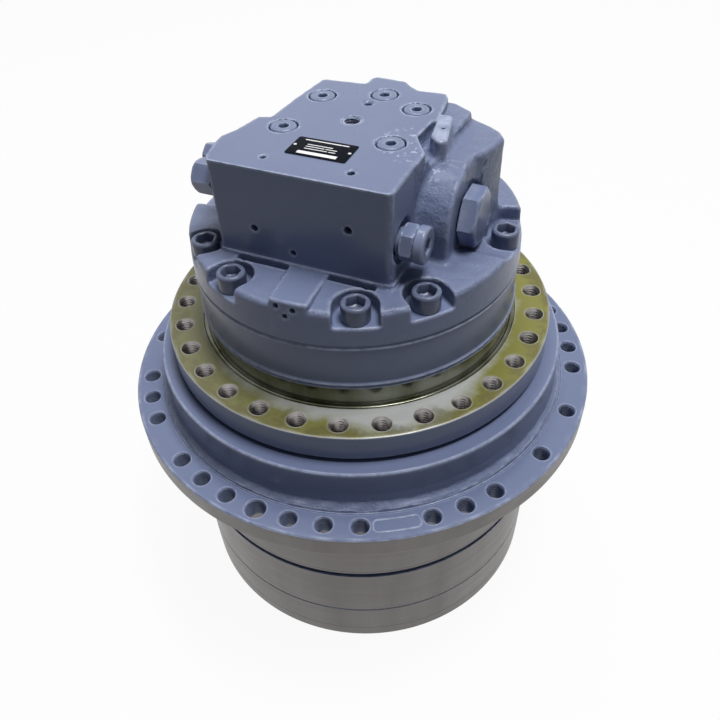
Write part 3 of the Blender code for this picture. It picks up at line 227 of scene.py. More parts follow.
def shade(level: float, *steps: float) -> Colour:
    """Linear colour from a brightness and its share of red, green and blue."""
    red, green, blue = steps or (1.0, 1.0, 1.0)
    return (level * red, level * green, level * blue, 1.0)


@dataclass(frozen=True)
class Enamel:
    """Blue-grey gloss enamel sprayed over cast and machined iron.

    Attributes "cast", "edge" and "chips" of the mesh run from 0 to 1: the first brings the casting's rough
    skin through, the second lightens raised edges, partly as thinned paint and partly as a painted highlight,
    and the third breaks the paint into bright specks.
    """

    name: str
    base: Colour = (0.150, 0.184, 0.305, 1.0)
    dusty: Colour = (0.168, 0.203, 0.325, 1.0)
    # pale blue-grey: thinned paint on the chips, and a painted highlight on raised edges
    worn_and_highlight: Colour = (0.430, 0.485, 0.640, 1.0)
    gloss: float = 0.29

    def build(self) -> bpy.types.Material:
        """Make the material.

        Returns:
            The enamel.
        """
        sheet = Sheet(self.name)
        cast = sheet.attribute("cast")
        edge = sheet.attribute("edge")
        cloud = sheet.spread(sheet.noise(9, 4), 0.35, 0.65, 0, 1)
        speck = sheet.noise(420, 3)
        colour = sheet.blend(cloud, self.base, self.dusty)
        # raised edges go pale: thinned paint, and a painted highlight along the edge
        thin = sheet.sum("MULTIPLY", edge, sheet.spread(sheet.noise(130, 3), 0.3, 0.6, 0.15, 0.72))
        colour = sheet.blend(thin, colour, self.worn_and_highlight)
        flakes = sheet.spread(sheet.noise(260, 3), 0.60, 0.64, 0, 1)
        chips = sheet.sum("MULTIPLY", sheet.attribute("chips"), flakes)
        colour = sheet.blend(chips, colour, self.worn_and_highlight)
        rough = sheet.spread(speck, 0.3, 0.7, self.gloss - 0.02, self.gloss + 0.05)
        skin = sheet.sum("ADD", sheet.noise(380, 5, rough=0.65), sheet.noise(110, 2))
        smooth = sheet.bump(sheet.noise(160, 2), 0.0002, 0.08)
        pitted = sheet.bump(skin, 0.0011, sheet.spread(cast, 0, 1, 0.0, 0.90), smooth)
        sheet.feed(Base_Color=colour, Roughness=rough, Normal=pitted)
        sheet.feed(Specular_IOR_Level=0.24, Coat_Weight=0.10, Coat_Roughness=0.12)
        return sheet.material


@dataclass(frozen=True)
class Turned:
    """Lathe-turned metal with fine marks round Z, staining in turning bands and upright bands of painted
    reflection.
    """

    name: str
    metal: Colour
    # darker colour: staining in the turning bands, and the dark side of the painted reflection bands
    stain_and_dark_reflection: Colour
    shine: float = 0.30
    metallic: float = 1.0
    # noise span of the upright bands of painted reflection
    reflection_span: tuple[float, float] = (0.45, 0.62)
    depth: float = 0.00006

    def build(self) -> bpy.types.Material:
        """Make the material.

        Returns:
            The turned metal.
        """
        sheet = Sheet(self.name)
        lathe = sheet.lathe_place(40)
        marks = sheet.noise(900, 3, lathe)
        bands = sheet.noise(120, 3, lathe)
        # soft upright bands towards the darker colour: painted reflection of the surroundings on the metal
        reflection_bands = sheet.spread(sheet.noise(26, 5, sheet.upright()), *self.reflection_span, 0, 1)
        tint = sheet.blend(sheet.spread(bands, 0.3, 0.7, 0, 0.45), self.metal, self.stain_and_dark_reflection)
        colour = sheet.blend(reflection_bands, tint, self.stain_and_dark_reflection)
        # raised edges lighten towards the bare metal colour: painted highlight
        edge = sheet.sum("MULTIPLY", sheet.attribute("edge"), 0.5)
        colour = sheet.blend(edge, colour, self.metal)
        rough = sheet.spread(marks, 0.3, 0.7, self.shine - 0.06, self.shine + 0.10)
        sheet.feed(Base_Color=colour, Roughness=rough, Metallic=self.metallic)
        sheet.feed(Normal=sheet.bump(marks, self.depth, 0.6))
        return sheet.material


@dataclass(frozen=True)
class FilmedFace:
    """Machined flange face under a yellow preservative film that gathers towards the rim."""

    name: str
    metal: Colour = (0.46, 0.475, 0.465, 1.0)
    olive: Colour = (0.150, 0.150, 0.075, 1.0)
    yellow: Colour = (0.185, 0.180, 0.030, 1.0)
    brown: Colour = (0.090, 0.078, 0.026, 1.0)
    pitch: float = 0.1700
    wiped: Triple = (0.084, -0.136, 0.3275)

    def build(self) -> bpy.types.Material:
        """Make the material.

        Returns:
            The filmed metal.
        """
        sheet = Sheet(self.name)
        lathe = sheet.lathe_place(30)
        parts = sheet.node("ShaderNodeSeparateXYZ", {}, {"Vector": lathe})
        outward = sheet.spread(parts.outputs["X"], self.pitch - 0.020, self.pitch + 0.012, -0.16, 0.26)
        across = sheet.node("ShaderNodeSeparateXYZ", {}, {"Vector": sheet.place}).outputs["X"]
        apart = sheet.node("ShaderNodeVectorMath", {"operation": "DISTANCE"}, {0: sheet.place, 1: self.wiped})
        wiped = sheet.spread(apart.outputs["Value"], 0.02, 0.10, 0.40, 0.0)
        film = sheet.sum("SUBTRACT", sheet.sum("ADD", sheet.noise(17, 5), outward), wiped)
        film = sheet.spread(film, 0.20, 0.46, 0.0, 1.0)
        tint = sheet.blend(sheet.spread(across, -0.12, 0.12, 0.1, 1.0), self.olive, self.yellow)
        colour = sheet.blend(film, self.metal, tint)
        drip = sheet.spread(sheet.sum("ADD", sheet.noise(48, 6, rough=0.65), outward), 0.62, 0.78, 0, 0.6)
        colour = sheet.blend(drip, colour, self.brown)
        # raised edges lighten towards the bare metal colour: painted highlight
        bright = sheet.sum("MULTIPLY", sheet.attribute("edge"), 0.6)
        colour = sheet.blend(bright, colour, self.metal)
        marks = sheet.noise(700, 2, lathe)
        sheet.feed(Base_Color=colour, Metallic=sheet.spread(film, 0, 1, 0.35, 0.10))
        sheet.feed(Roughness=sheet.spread(marks, 0.3, 0.7, 0.36, 0.48))
        sheet.feed(Normal=sheet.bump(marks, 0.00004, 0.5))
        return sheet.material


@dataclass(frozen=True)
class Plain:
    """Small finish for inner pieces: one colour broken by fine noise."""

    name: str
    colour: Colour
    metallic: float = 0.0
    rough: float = 0.4
    specular: float = 0.5

    def build(self) -> bpy.types.Material:
        """Make the material.

        Returns:
            The plain finish.
        """
        sheet = Sheet(self.name)
        lighter = tuple(min(1.0, part * 1.35) for part in self.colour[:3]) + (1.0,)
        colour = sheet.blend(sheet.noise(60, 4), self.colour, lighter)
        rough = sheet.spread(sheet.noise(300, 3), 0.3, 0.7, self.rough - 0.05, self.rough + 0.08)
        sheet.feed(Base_Color=colour, Roughness=rough, Metallic=self.metallic)
        sheet.feed(Normal=sheet.bump(sheet.noise(500, 2), 0.0001, 0.3), Specular_IOR_Level=self.specular)
        return sheet.material


@dataclass(frozen=True)
class PaleFloor:
    """Floor that the camera sees as near white, with the soft shadow kept."""

    name: str = "pale_floor"
    colour: Colour = (0.24, 0.24, 0.25, 1.0)
    lift: float = 0.80
    glow: float = 1.17

    def build(self) -> bpy.types.Material:
        """Make the material.

        Returns:
            The floor's finish.
        """
        sheet = Sheet(self.name)
        nodes = sheet.tree.nodes
        sheet.feed(Base_Color=sheet.blend(sheet.noise(2, 3), self.colour, shade(0.26)), Roughness=0.9)
        glow = sheet.node("ShaderNodeEmission", {}, {"Color": shade(1.0), "Strength": self.glow})
        path = nodes.new("ShaderNodeLightPath").outputs
        rays = sheet.sum("MAXIMUM", path["Is Camera Ray"], path["Is Transmission Ray"])
        seen = sheet.sum("MULTIPLY", sheet.sum("MAXIMUM", rays, path["Is Glossy Ray"]), self.lift)
        mixed = sheet.node("ShaderNodeMixShader", {}, {0: seen, 1: sheet.shader.outputs[0]})
        sheet.tree.links.new(glow.outputs[0], mixed.inputs[2])
        sheet.tree.links.new(mixed.outputs[0], nodes["Material Output"].inputs["Surface"])
        return sheet.material


@dataclass
class Finishes:
    """Every finish of the drive, made once."""

    made: dict[str, bpy.types.Material] = field(default_factory=dict)

    RECIPES = (
        Enamel("enamel"),
        # screw heads: a darker copy of the enamel, partly painted shade of the pockets they sit in
        Enamel("screw_enamel", (0.082, 0.102, 0.176, 1), (0.098, 0.120, 0.200, 1), (0.330, 0.375, 0.500, 1)),
        FilmedFace("filmed_face"),
        Turned("filmed_neck", (0.23, 0.235, 0.20, 1), (0.075, 0.078, 0.040, 1), 0.16, 0.85, (0.40, 0.62)),
        Turned("drum_steel", (0.180, 0.171, 0.166, 1), (0.125, 0.117, 0.112, 1), 0.36, 0.7, (0.35, 0.7)),
        Turned("bright_steel", (0.60, 0.59, 0.58, 1), (0.34, 0.33, 0.32, 1), 0.26, 1.0, (0.5, 0.8)),
        Turned("thread_steel", (0.42, 0.40, 0.40, 1), (0.16, 0.15, 0.14, 1), 0.34, 1.0, (0.35, 0.6)),
        Plain("gear_steel_finish", (0.36, 0.36, 0.38, 1), 1.0, 0.3),
        Plain("bare_steel_finish", (0.50, 0.50, 0.51, 1), 1.0, 0.32),
        Plain("bronze_finish", (0.55, 0.36, 0.16, 1), 1.0, 0.34),
        Plain("rubber_finish", (0.018, 0.018, 0.018, 1), 0.0, 0.6),
        Plain("black_plate_finish", (0.005, 0.006, 0.010, 1), 0.0, 0.5, 0.02),
        Plain("white_ink", (0.72, 0.72, 0.72, 1), 0.0, 0.4),
        PaleFloor(),
    )

    def build(self) -> None:
        """Make the materials."""
        for recipe in self.RECIPES:
            self.made[recipe.name] = recipe.build()

    def of(self, *names: str) -> list[bpy.types.Material]:
        """Materials by name."""
        return [self.made[name] for name in names]


def grid_faces(rows: int, columns: int) -> np.ndarray:
    """Quads of a grid that closes round: corner (i, j) joins (i, j+1), (i+1, j+1) and (i+1, j).

    Args:
        rows: rows of the grid.
        columns: points in each closed row.

    Returns:
        Corner numbers, shape (n, 4).
    """
    i, j = np.meshgrid(np.arange(rows - 1), np.arange(columns), indexing="ij")
    following = (j + 1) % columns
    corners = (i * columns + j, i * columns + following, (i + 1) * columns + following, (i + 1) * columns + j)
    return np.stack(corners, axis=-1).reshape(-1, 4)


def rounded(
    corners: list[tuple[float, ...]], radius: float, steps: int = 3, closed: bool = True
) -> np.ndarray:
    """Profile with each corner replaced by an arc.

    The arc of a corner touches both its sides at radius / tan(half the corner's angle), kept under 0.48 of
    the shorter side, and its points turn evenly about the arc's centre.

    Args:
        corners: (r, z) points, each with an optional radius of its own as third number.
        radius: radius of corners without one of their own.
        steps: segments in an arc.
        closed: whether the last corner joins the first.

    Returns:
        Points of the rounded profile, shape (n, 2).
    """
    sizes = np.array([corner[2] if len(corner) > 2 else radius for corner in corners])
    points = np.array([corner[:2] for corner in corners], dtype=float)
    back = np.roll(points, 1, axis=0) - points
    ahead = np.roll(points, -1, axis=0) - points
    back_length = np.maximum(np.linalg.norm(back, axis=1), 1e-9)
    ahead_length = np.maximum(np.linalg.norm(ahead, axis=1), 1e-9)
    back /= back_length[:, None]
    ahead /= ahead_length[:, None]
    half = np.arccos(np.clip((back * ahead).sum(axis=1), -1, 1)) / 2
    straight = half > math.radians(89)
    slope = np.tan(np.where(straight, 1.0, half))
    cut = np.minimum(sizes / slope, 0.48 * np.minimum(back_length, ahead_length))
    cut[straight] = 0
    if not closed:
        cut[[0, -1]] = 0
    middle = back + ahead
    middle /= np.maximum(np.linalg.norm(middle, axis=1), 1e-9)[:, None]
    centre = points + middle * (cut / np.cos(np.where(straight, 0.0, half)))[:, None]
    centre[cut == 0] = points[cut == 0] + 1.0
    start = points + back * cut[:, None] - centre
    end = points + ahead * cut[:, None] - centre
    swing = np.maximum(math.pi - 2 * half, 1e-6)[:, None, None]
    share = np.linspace(0, 1, steps + 1)[None, :, None]
    turned = np.sin((1 - share) * swing) * start[:, None] + np.sin(share * swing) * end[:, None]
    arcs = centre[:, None] + turned / np.sin(swing)
    arcs[cut == 0] = points[cut == 0][:, None]
    flat = arcs.reshape(-1, 2)
    step = np.linalg.norm(flat - np.roll(flat, 1, axis=0), axis=1)
    keep = step > 1e-7
    keep[0] = True
    return flat[keep]


def guarded(line: np.ndarray, reach: float = 0.0009, long: float = 0.0035) -> np.ndarray:
    """Line with one more point a short reach inside both ends of each long straight.

    The edge attribute, a painted highlight on raised edges (with thinned paint on enamel), then fades out
    over that reach and not over the whole straight.

    Args:
        line: (r, z) or longer rows along a profile.
        reach: metres from an end to its new point.
        long: length past which a straight gets new points.

    Returns:
        The line with its new rows.
    """
    way = np.diff(line, axis=0)
    size = np.linalg.norm(way, axis=1)
    share = (reach / np.maximum(size, 1e-9))[:, None]
    extra = (size > long) & (size < FLAT / 2)
    rows = np.stack((line[:-1], line[:-1] + way * share, line[1:] - way * share), axis=1)
    keep = np.stack((np.ones(len(way), dtype=bool), extra, extra), axis=1)
    return np.vstack((rows[keep], line[-1:]))


@dataclass
class Shell:
    """Grids gathered into one closed surface before they are welded."""

    points: list[np.ndarray] = field(default_factory=list)
    faces: list[np.ndarray] = field(default_factory=list)
    tints: list[np.ndarray] = field(default_factory=list)
    total: int = 0

    def add(self, points: np.ndarray, faces: np.ndarray, tint: int = 0) -> None:
        """Add points of shape (..., 3) and quads that number them, with one material index.

        Args:
            points: points, shape (..., 3).
            faces: quads that number them.
            tint: material index.
        """
        flat = points.reshape(-1, 3)
        self.points.append(flat)
        self.faces.append(faces + self.total)
        self.tints.append(np.full(len(faces), tint))
        self.total += len(flat)

    def lathe(self, radii: np.ndarray, heights: np.ndarray, angles: np.ndarray, tint: int = 0) -> None:
        """Turn rows round the Z axis: x = r cos(angle), y = r sin(angle), r fixed or a value per angle.

        Args:
            radii: radius of each row, or of each row and angle.
            heights: height of each row.
            angles: angles round the axis.
            tint: material index.
        """
        radii = np.asarray(radii, dtype=float)
        if radii.ndim == 1:
            radii = radii[:, None]
        wide = np.broadcast_to(radii, (len(radii), len(angles)))
        high = np.broadcast_to(np.asarray(heights, dtype=float)[:, None], wide.shape)
        points = np.stack((wide * np.cos(angles), wide * np.sin(angles), high), axis=-1)
        self.add(points, grid_faces(len(wide), len(angles)), tint)

    def profile(self, line: np.ndarray, angles: np.ndarray, tint: int = 0, closed: bool = False) -> None:
        """Turn a profile of (r, z) points, joined to its start if closed.

        Args:
            line: (r, z) points of the profile.
            angles: angles round the axis.
            tint: material index.
            closed: whether the last point joins the first.
        """
        if closed:
            line = np.vstack((line, line[:1]))
        line = guarded(line)
        self.lathe(line[:, 0], line[:, 1], angles, tint)

    def moved(self, matrix: Matrix) -> "Shell":
        """This shell carried by a matrix.

        Args:
            matrix: rotation and shift.

        Returns:
            The same shell.
        """
        turn = np.array(matrix.to_3x3())
        shift = np.array(matrix.translation)
        self.points = [part @ turn.T + shift for part in self.points]
        return self


def convexity(mesh: bpy.types.Mesh, reach: float) -> np.ndarray:
    """How far each vertex lies on a raised edge, 0 to 1.

    Over every edge of the mesh the curvature is (n1 - n2) . (p1 - p2) / |p1 - p2|^2, and a vertex keeps the
    largest, times the reach and less a fifth, so that gentle bends stay out.

    Args:
        mesh: mesh with its normals.
        reach: radius in metres of an edge that counts as 1.

    Returns:
        One number for each vertex.
    """
    count = len(mesh.vertices)
    places = np.empty(count * 3)
    mesh.vertices.foreach_get("co", places)
    normals = np.empty(count * 3)
    mesh.vertices.foreach_get("normal", normals)
    ends = np.empty(len(mesh.edges) * 2, dtype=np.int32)
    mesh.edges.foreach_get("vertices", ends)
    places, normals, ends = places.reshape(-1, 3), normals.reshape(-1, 3), ends.reshape(-1, 2)
    apart = places[ends[:, 0]] - places[ends[:, 1]]
    bend = ((normals[ends[:, 0]] - normals[ends[:, 1]]) * apart).sum(axis=1)
    bend /= np.maximum((apart * apart).sum(axis=1), 1e-10)
    most = np.zeros(count)
    np.maximum.at(most, ends.ravel(), np.repeat(bend, 2))
    return np.clip(most * reach - 0.2, 0, 1)


def settle(name: str, shell: Shell, finishes: list[bpy.types.Material]) -> bpy.types.Object:
    """Weld a shell into a mesh object with outward faces, smooth shading and its edge attribute.

    Args:
        name: name of the piece.
        shell: the gathered grids.
        finishes: materials by the shell's material index.

    Returns:
        The new object.
    """
    faces = np.concatenate(shell.faces).astype(np.int32)
    mesh = bpy.data.meshes.new(name)
    mesh.vertices.add(shell.total)
    mesh.vertices.foreach_set("co", np.concatenate(shell.points).astype(np.float32).ravel())
    mesh.loops.add(faces.size)
    mesh.loops.foreach_set("vertex_index", faces.ravel())
    mesh.polygons.add(len(faces))
    mesh.polygons.foreach_set("loop_start", np.arange(0, faces.size, 4, dtype=np.int32))
    mesh.polygons.foreach_set("material_index", np.concatenate(shell.tints).astype(np.int32))
    mesh.update(calc_edges=True)
    welder = bmesh.new()
    welder.from_mesh(mesh)
    bmesh.ops.remove_doubles(welder, verts=welder.verts, dist=WELD)
    bmesh.ops.dissolve_degenerate(welder, edges=welder.edges, dist=WELD / 4)
    bmesh.ops.recalc_face_normals(welder, faces=welder.faces)
    open_edges = sum(1 for edge in welder.edges if not edge.is_manifold)
    welder.to_mesh(mesh)
    welder.free()
    mesh.polygons.foreach_set("use_smooth", np.ones(len(mesh.polygons), dtype=bool))
    mesh.set_sharp_from_angle(angle=CREASE)
    # edge: raised edges, which the finishes lighten as a painted highlight (on enamel also as thinned paint)
    store(mesh, "edge", convexity(mesh, 0.0011))
    for finish in finishes:
        mesh.materials.append(finish)
    piece = bpy.data.objects.new(name, mesh)
    bpy.context.scene.collection.objects.link(piece)
    if open_edges:
        LOG.warning("%s has %d open edges", name, open_edges)
    return piece


def store(mesh: bpy.types.Mesh, name: str, values: np.ndarray) -> None:
    """Keep one number per vertex as an attribute."""
    layer = mesh.attributes.new(name, "FLOAT", "POINT")
    layer.data.foreach_set("value", np.asarray(values, dtype=np.float32))


def hand_over(piece: bpy.types.Object, body: Body, slot: Slot, *nodes: str) -> None:
    """Let a piece ride on its body and stand for the nodes that it replaces.

    Args:
        piece: the finished piece.
        body: body that it rides on.
        slot: slot of its finish; not used.
        *nodes: CAD nodes that it stands for.
    """
    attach(piece, body.value)
    if nodes:
        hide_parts(*nodes)
    LOG.info("%s: %d faces", piece.name, len(piece.data.polygons))


def bumps(points: np.ndarray, scale: float, seed: int) -> np.ndarray:
    """Smooth lumps from -1 to 1: a sum of nine plane waves with seeded directions and phases.

    Args:
        points: points, shape (..., 3).
        scale: radians per metre of the middle wave.
        seed: seed of the waves.

    Returns:
        One height for each point.
    """
    maker = np.random.default_rng(seed)
    ways = maker.normal(size=(9, 3))
    ways *= (maker.uniform(0.6, 1.6, size=9) * scale / np.linalg.norm(ways, axis=1))[:, None]
    phases = maker.uniform(0, TURN, size=9)
    return np.sin(points @ ways.T + phases).sum(axis=-1) / 4.5


@dataclass
class DrilledRing:
    """A flange's ring of holes, each hole's sector meshed from its rim to the sector's four sides.

    On a sector the boundary point b and the hole's centre c give rows c + (b - c) t, so each spoke runs
    straight from the hole to the edge; the hole's wall follows with its thread
    r = R + d (1 - |2 frac(z / pitch - angle / turn) - 1|), which climbs one pitch a turn.
    """

    places: int
    turn: float
    pitch_radius: float
    top: float
    bottom: float
    top_reach: tuple[float, float]
    bottom_reach: tuple[float, float]
    radii: np.ndarray
    chamfer: float = 0.0008
    pitch: float = 0.002
    thread: float = 0.0009
    arc_steps: int = 8
    side_steps: int = 5
    blind: bool = False

    @property
    def angles(self) -> np.ndarray:
        """Angles of the lathe grids that meet this ring.

        Returns:
            Angles in radians, one for each column.
        """
        count = self.places * self.arc_steps
        start = self.turn - math.pi / self.places
        return start + TURN * np.arange(count) / count

    def boundary(self, reach: tuple[float, float]) -> np.ndarray:
        """Corners of every sector as x and y, shape (places, steps, 2).

        Args:
            reach: inner and outer radius of the sectors.

        Returns:
            Corner points of all sectors.
        """
        half = math.pi / self.places
        near, far = reach
        run = np.linspace(-1, 1, self.arc_steps + 1)[:-1]
        rise = np.linspace(near, far, self.side_steps + 1)[:-1]
        swing = np.concatenate((run, np.ones(self.side_steps), -run, -np.ones(self.side_steps))) * half
        radius = np.concatenate(
            (np.full(self.arc_steps, near), rise, np.full(self.arc_steps, far), near + far - rise)
        )
        middle = self.turn + TURN * np.arange(self.places) / self.places
        angle = middle[:, None] + swing[None, :]
        return np.stack((radius * np.cos(angle), radius * np.sin(angle)), axis=-1)

    def spokes(self, reach: tuple[float, float], level: float, shares: tuple[float, ...]) -> np.ndarray:
        """Rows of a flat face from the sector's sides in to the chamfer, shape (places, rows, steps, 3).

        Args:
            reach: inner and outer radius of the face.
            level: height of the face.
            shares: place of each row, from 1 at the sector's sides to 0 at the hole.

        Returns:
            Points of all sectors.
        """
        edge = self.boundary(reach)
        middle = self.middles()[:, None]
        way = edge - middle
        length = np.linalg.norm(way, axis=-1, keepdims=True)
        rim = middle + way / length * np.where(self.radii > 0, self.radii + self.chamfer, 0)[:, None, None]
        rows = [rim + (edge - rim) * share for share in shares]
        flat = np.stack(rows, axis=1)
        high = np.full(flat.shape[:-1] + (1,), level)
        return np.concatenate((flat, high), axis=-1)

    def middles(self) -> np.ndarray:
        """Centres of the holes."""
        middle = self.turn + TURN * np.arange(self.places) / self.places
        return self.pitch_radius * np.stack((np.cos(middle), np.sin(middle)), axis=-1)

    def wall(self, index: int, floor: float) -> np.ndarray:
        """Rows down a hole from its top chamfer, shape (rows, steps, 3).

        Args:
            index: number of the hole.
            floor: height where the wall ends.

        Returns:
            Points of one wall.
        """
        centre = self.middles()[index]
        way = self.boundary(self.top_reach)[index] - centre
        angle = np.arctan2(way[:, 1], way[:, 0])
        radius = self.radii[index]
        start = self.top - self.chamfer
        stop = floor + (0 if self.blind else self.chamfer)
        count = max(2, round((start - stop) / self.pitch * 4))
        levels = np.linspace(start, stop, count + 1)[:, None]
        turns = levels / self.pitch - angle[None, :] / TURN
        tooth = 1 - np.abs(2 * (turns % 1.0) - 1)
        fade = np.clip(np.minimum(start - levels, levels - stop) / (self.pitch / 2), 0, 1)
        reach = radius - self.thread * (1 - tooth) * fade
        across, along = reach * np.cos(angle), reach * np.sin(angle)
        return np.stack((centre[0] + across, centre[1] + along, levels + 0 * angle), axis=-1)

    def build(self, shell: Shell, face_tint: int, wall_tint: int, under_tint: int) -> None:
        """Add the faces and holes to a shell.

        Args:
            shell: shell that gets the ring.
            face_tint: material index of the top face.
            wall_tint: material index of the holes.
            under_tint: material index of the lower face.
        """
        shares = (1.0, 0.93, 0.55, 0.2, 0.07, 0.0)
        top = self.spokes(self.top_reach, self.top, shares)
        faces = grid_faces(len(shares), top.shape[2])
        bottom = None
        if not self.blind:
            bottom = self.spokes(self.bottom_reach, self.bottom, shares)
        for index in range(self.places):
            shell.add(top[index], faces, face_tint)
            if bottom is not None:
                shell.add(bottom[index], faces, under_tint)
            if self.radii[index] <= 0:
                continue
            wall = self.wall(index, self.bottom)
            steps = wall.shape[1]
            shell.add(np.stack((top[index][-1], wall[0])), grid_faces(2, steps), wall_tint)
            shell.add(wall, grid_faces(len(wall), steps), wall_tint)
            if self.blind:
                point = np.append(self.middles()[index], self.bottom - self.radii[index] * 0.5)
                tip = np.tile(point, (steps, 1))
                shell.add(np.stack((wall[-1], tip)), grid_faces(2, steps), wall_tint)
            else:
                shell.add(np.stack((wall[-1], bottom[index][-1])), grid_faces(2, steps), wall_tint)


@dataclass
class Bar:
    """Hexagon and round bar work, turned about its own +Z axis.

    Each row is (round radius, hexagon's apothem, height). The section there is the smaller of the circle and
    the hexagon a / cos(((angle + 30) mod 60) - 30), so a cone of growing radius cuts the curved chamfers.
    """

    rows: list[Triple]
    steps: int = 48

    def shell(self) -> Shell:
        """The bar as a shell.

        Returns:
            The bar, standing on its own axis.
        """
        angles = TURN * np.arange(self.steps) / self.steps
        sixth = math.pi / 3
        wave = np.cos((angles + sixth / 2) % sixth - sixth / 2)
        table = guarded(np.array(self.rows))
        radii = np.minimum(table[:, :1], table[:, 1:2] / wave[None, :])
        made = Shell()
        made.lathe(radii, table[:, 2], angles)
        return made


def axis_matrix(place: Triple, way: str, roll: float = 0.0) -> Matrix:
    """Matrix that carries +Z to +X, -X, +Z or -Z at a place, after a roll about it in degrees.

    Args:
        place: where the origin goes.
        way: axis that +Z goes to.
        roll: turn about the bar's own axis in degrees.

    Returns:
        The matrix.
    """
    turns = {
        "+Z": Matrix.Identity(4),
        "-Z": Matrix.Rotation(math.pi, 4, "X"),
        "+X": Matrix.Rotation(math.pi / 2, 4, "Y"),
        "-X": Matrix.Rotation(-math.pi / 2, 4, "Y"),
    }
    return Matrix.Translation(place) @ turns[way] @ Matrix.Rotation(math.radians(roll), 4, "Z")


@dataclass
class CapScrews:
    """Ten socket head cap screws in the cover's pockets."""

    seat: float = 0.4133
    pitch_radius: float = 0.1365
    angles: tuple[float, ...] = (6, 54, 78, 102, 126, 174, 222, 246, 294, 318)
    head: float = 0.0120
    height: float = 0.016
    socket: float = 0.0072

    def rows(self) -> list[Triple]:
        """Section of the head from its seat, over the crown and down into the socket.

        Returns:
            Rows of (round radius, apothem, height) for Bar.
        """
        r, h, s = self.head, self.height, self.socket
        return [
            (0.0, FLAT, 0.0), (r - 0.0006, FLAT, 0.0), (r, FLAT, 0.0006), (r, FLAT, h - 0.0022),
            (r - 0.0004, FLAT, h - 0.0010), (r - 0.0012, FLAT, h - 0.0003), (r - 0.0022, FLAT, h),
            (s + 0.0019, FLAT, h), (s + 0.0014, s + 0.0006, h - 0.0004), (s + 0.0012, s, h - 0.0016),
            (FLAT, s, h - 0.0085), (s * 0.9, s, h - 0.0092), (0.0, s, h - 0.0112),
        ]

    def build(self, finishes: Finishes) -> None:
        """Place the screws.

        Args:
            finishes: every finish of the drive.
        """
        for number, degrees in enumerate(self.angles):
            turn = math.radians(degrees)
            spot = (self.pitch_radius * math.cos(turn), self.pitch_radius * math.sin(turn), self.seat)
            roll = (17 * number * number + 8) % 60
            shell = Bar(self.rows()).shell().moved(axis_matrix(spot, "+Z", roll))
            piece = settle(f"cap_screw_{number + 1:02d}", shell, finishes.of("screw_enamel"))
            hand_over(piece, Body.CASING, Slot.ENAMEL, f"cover_screw_{number + 1:02d}")


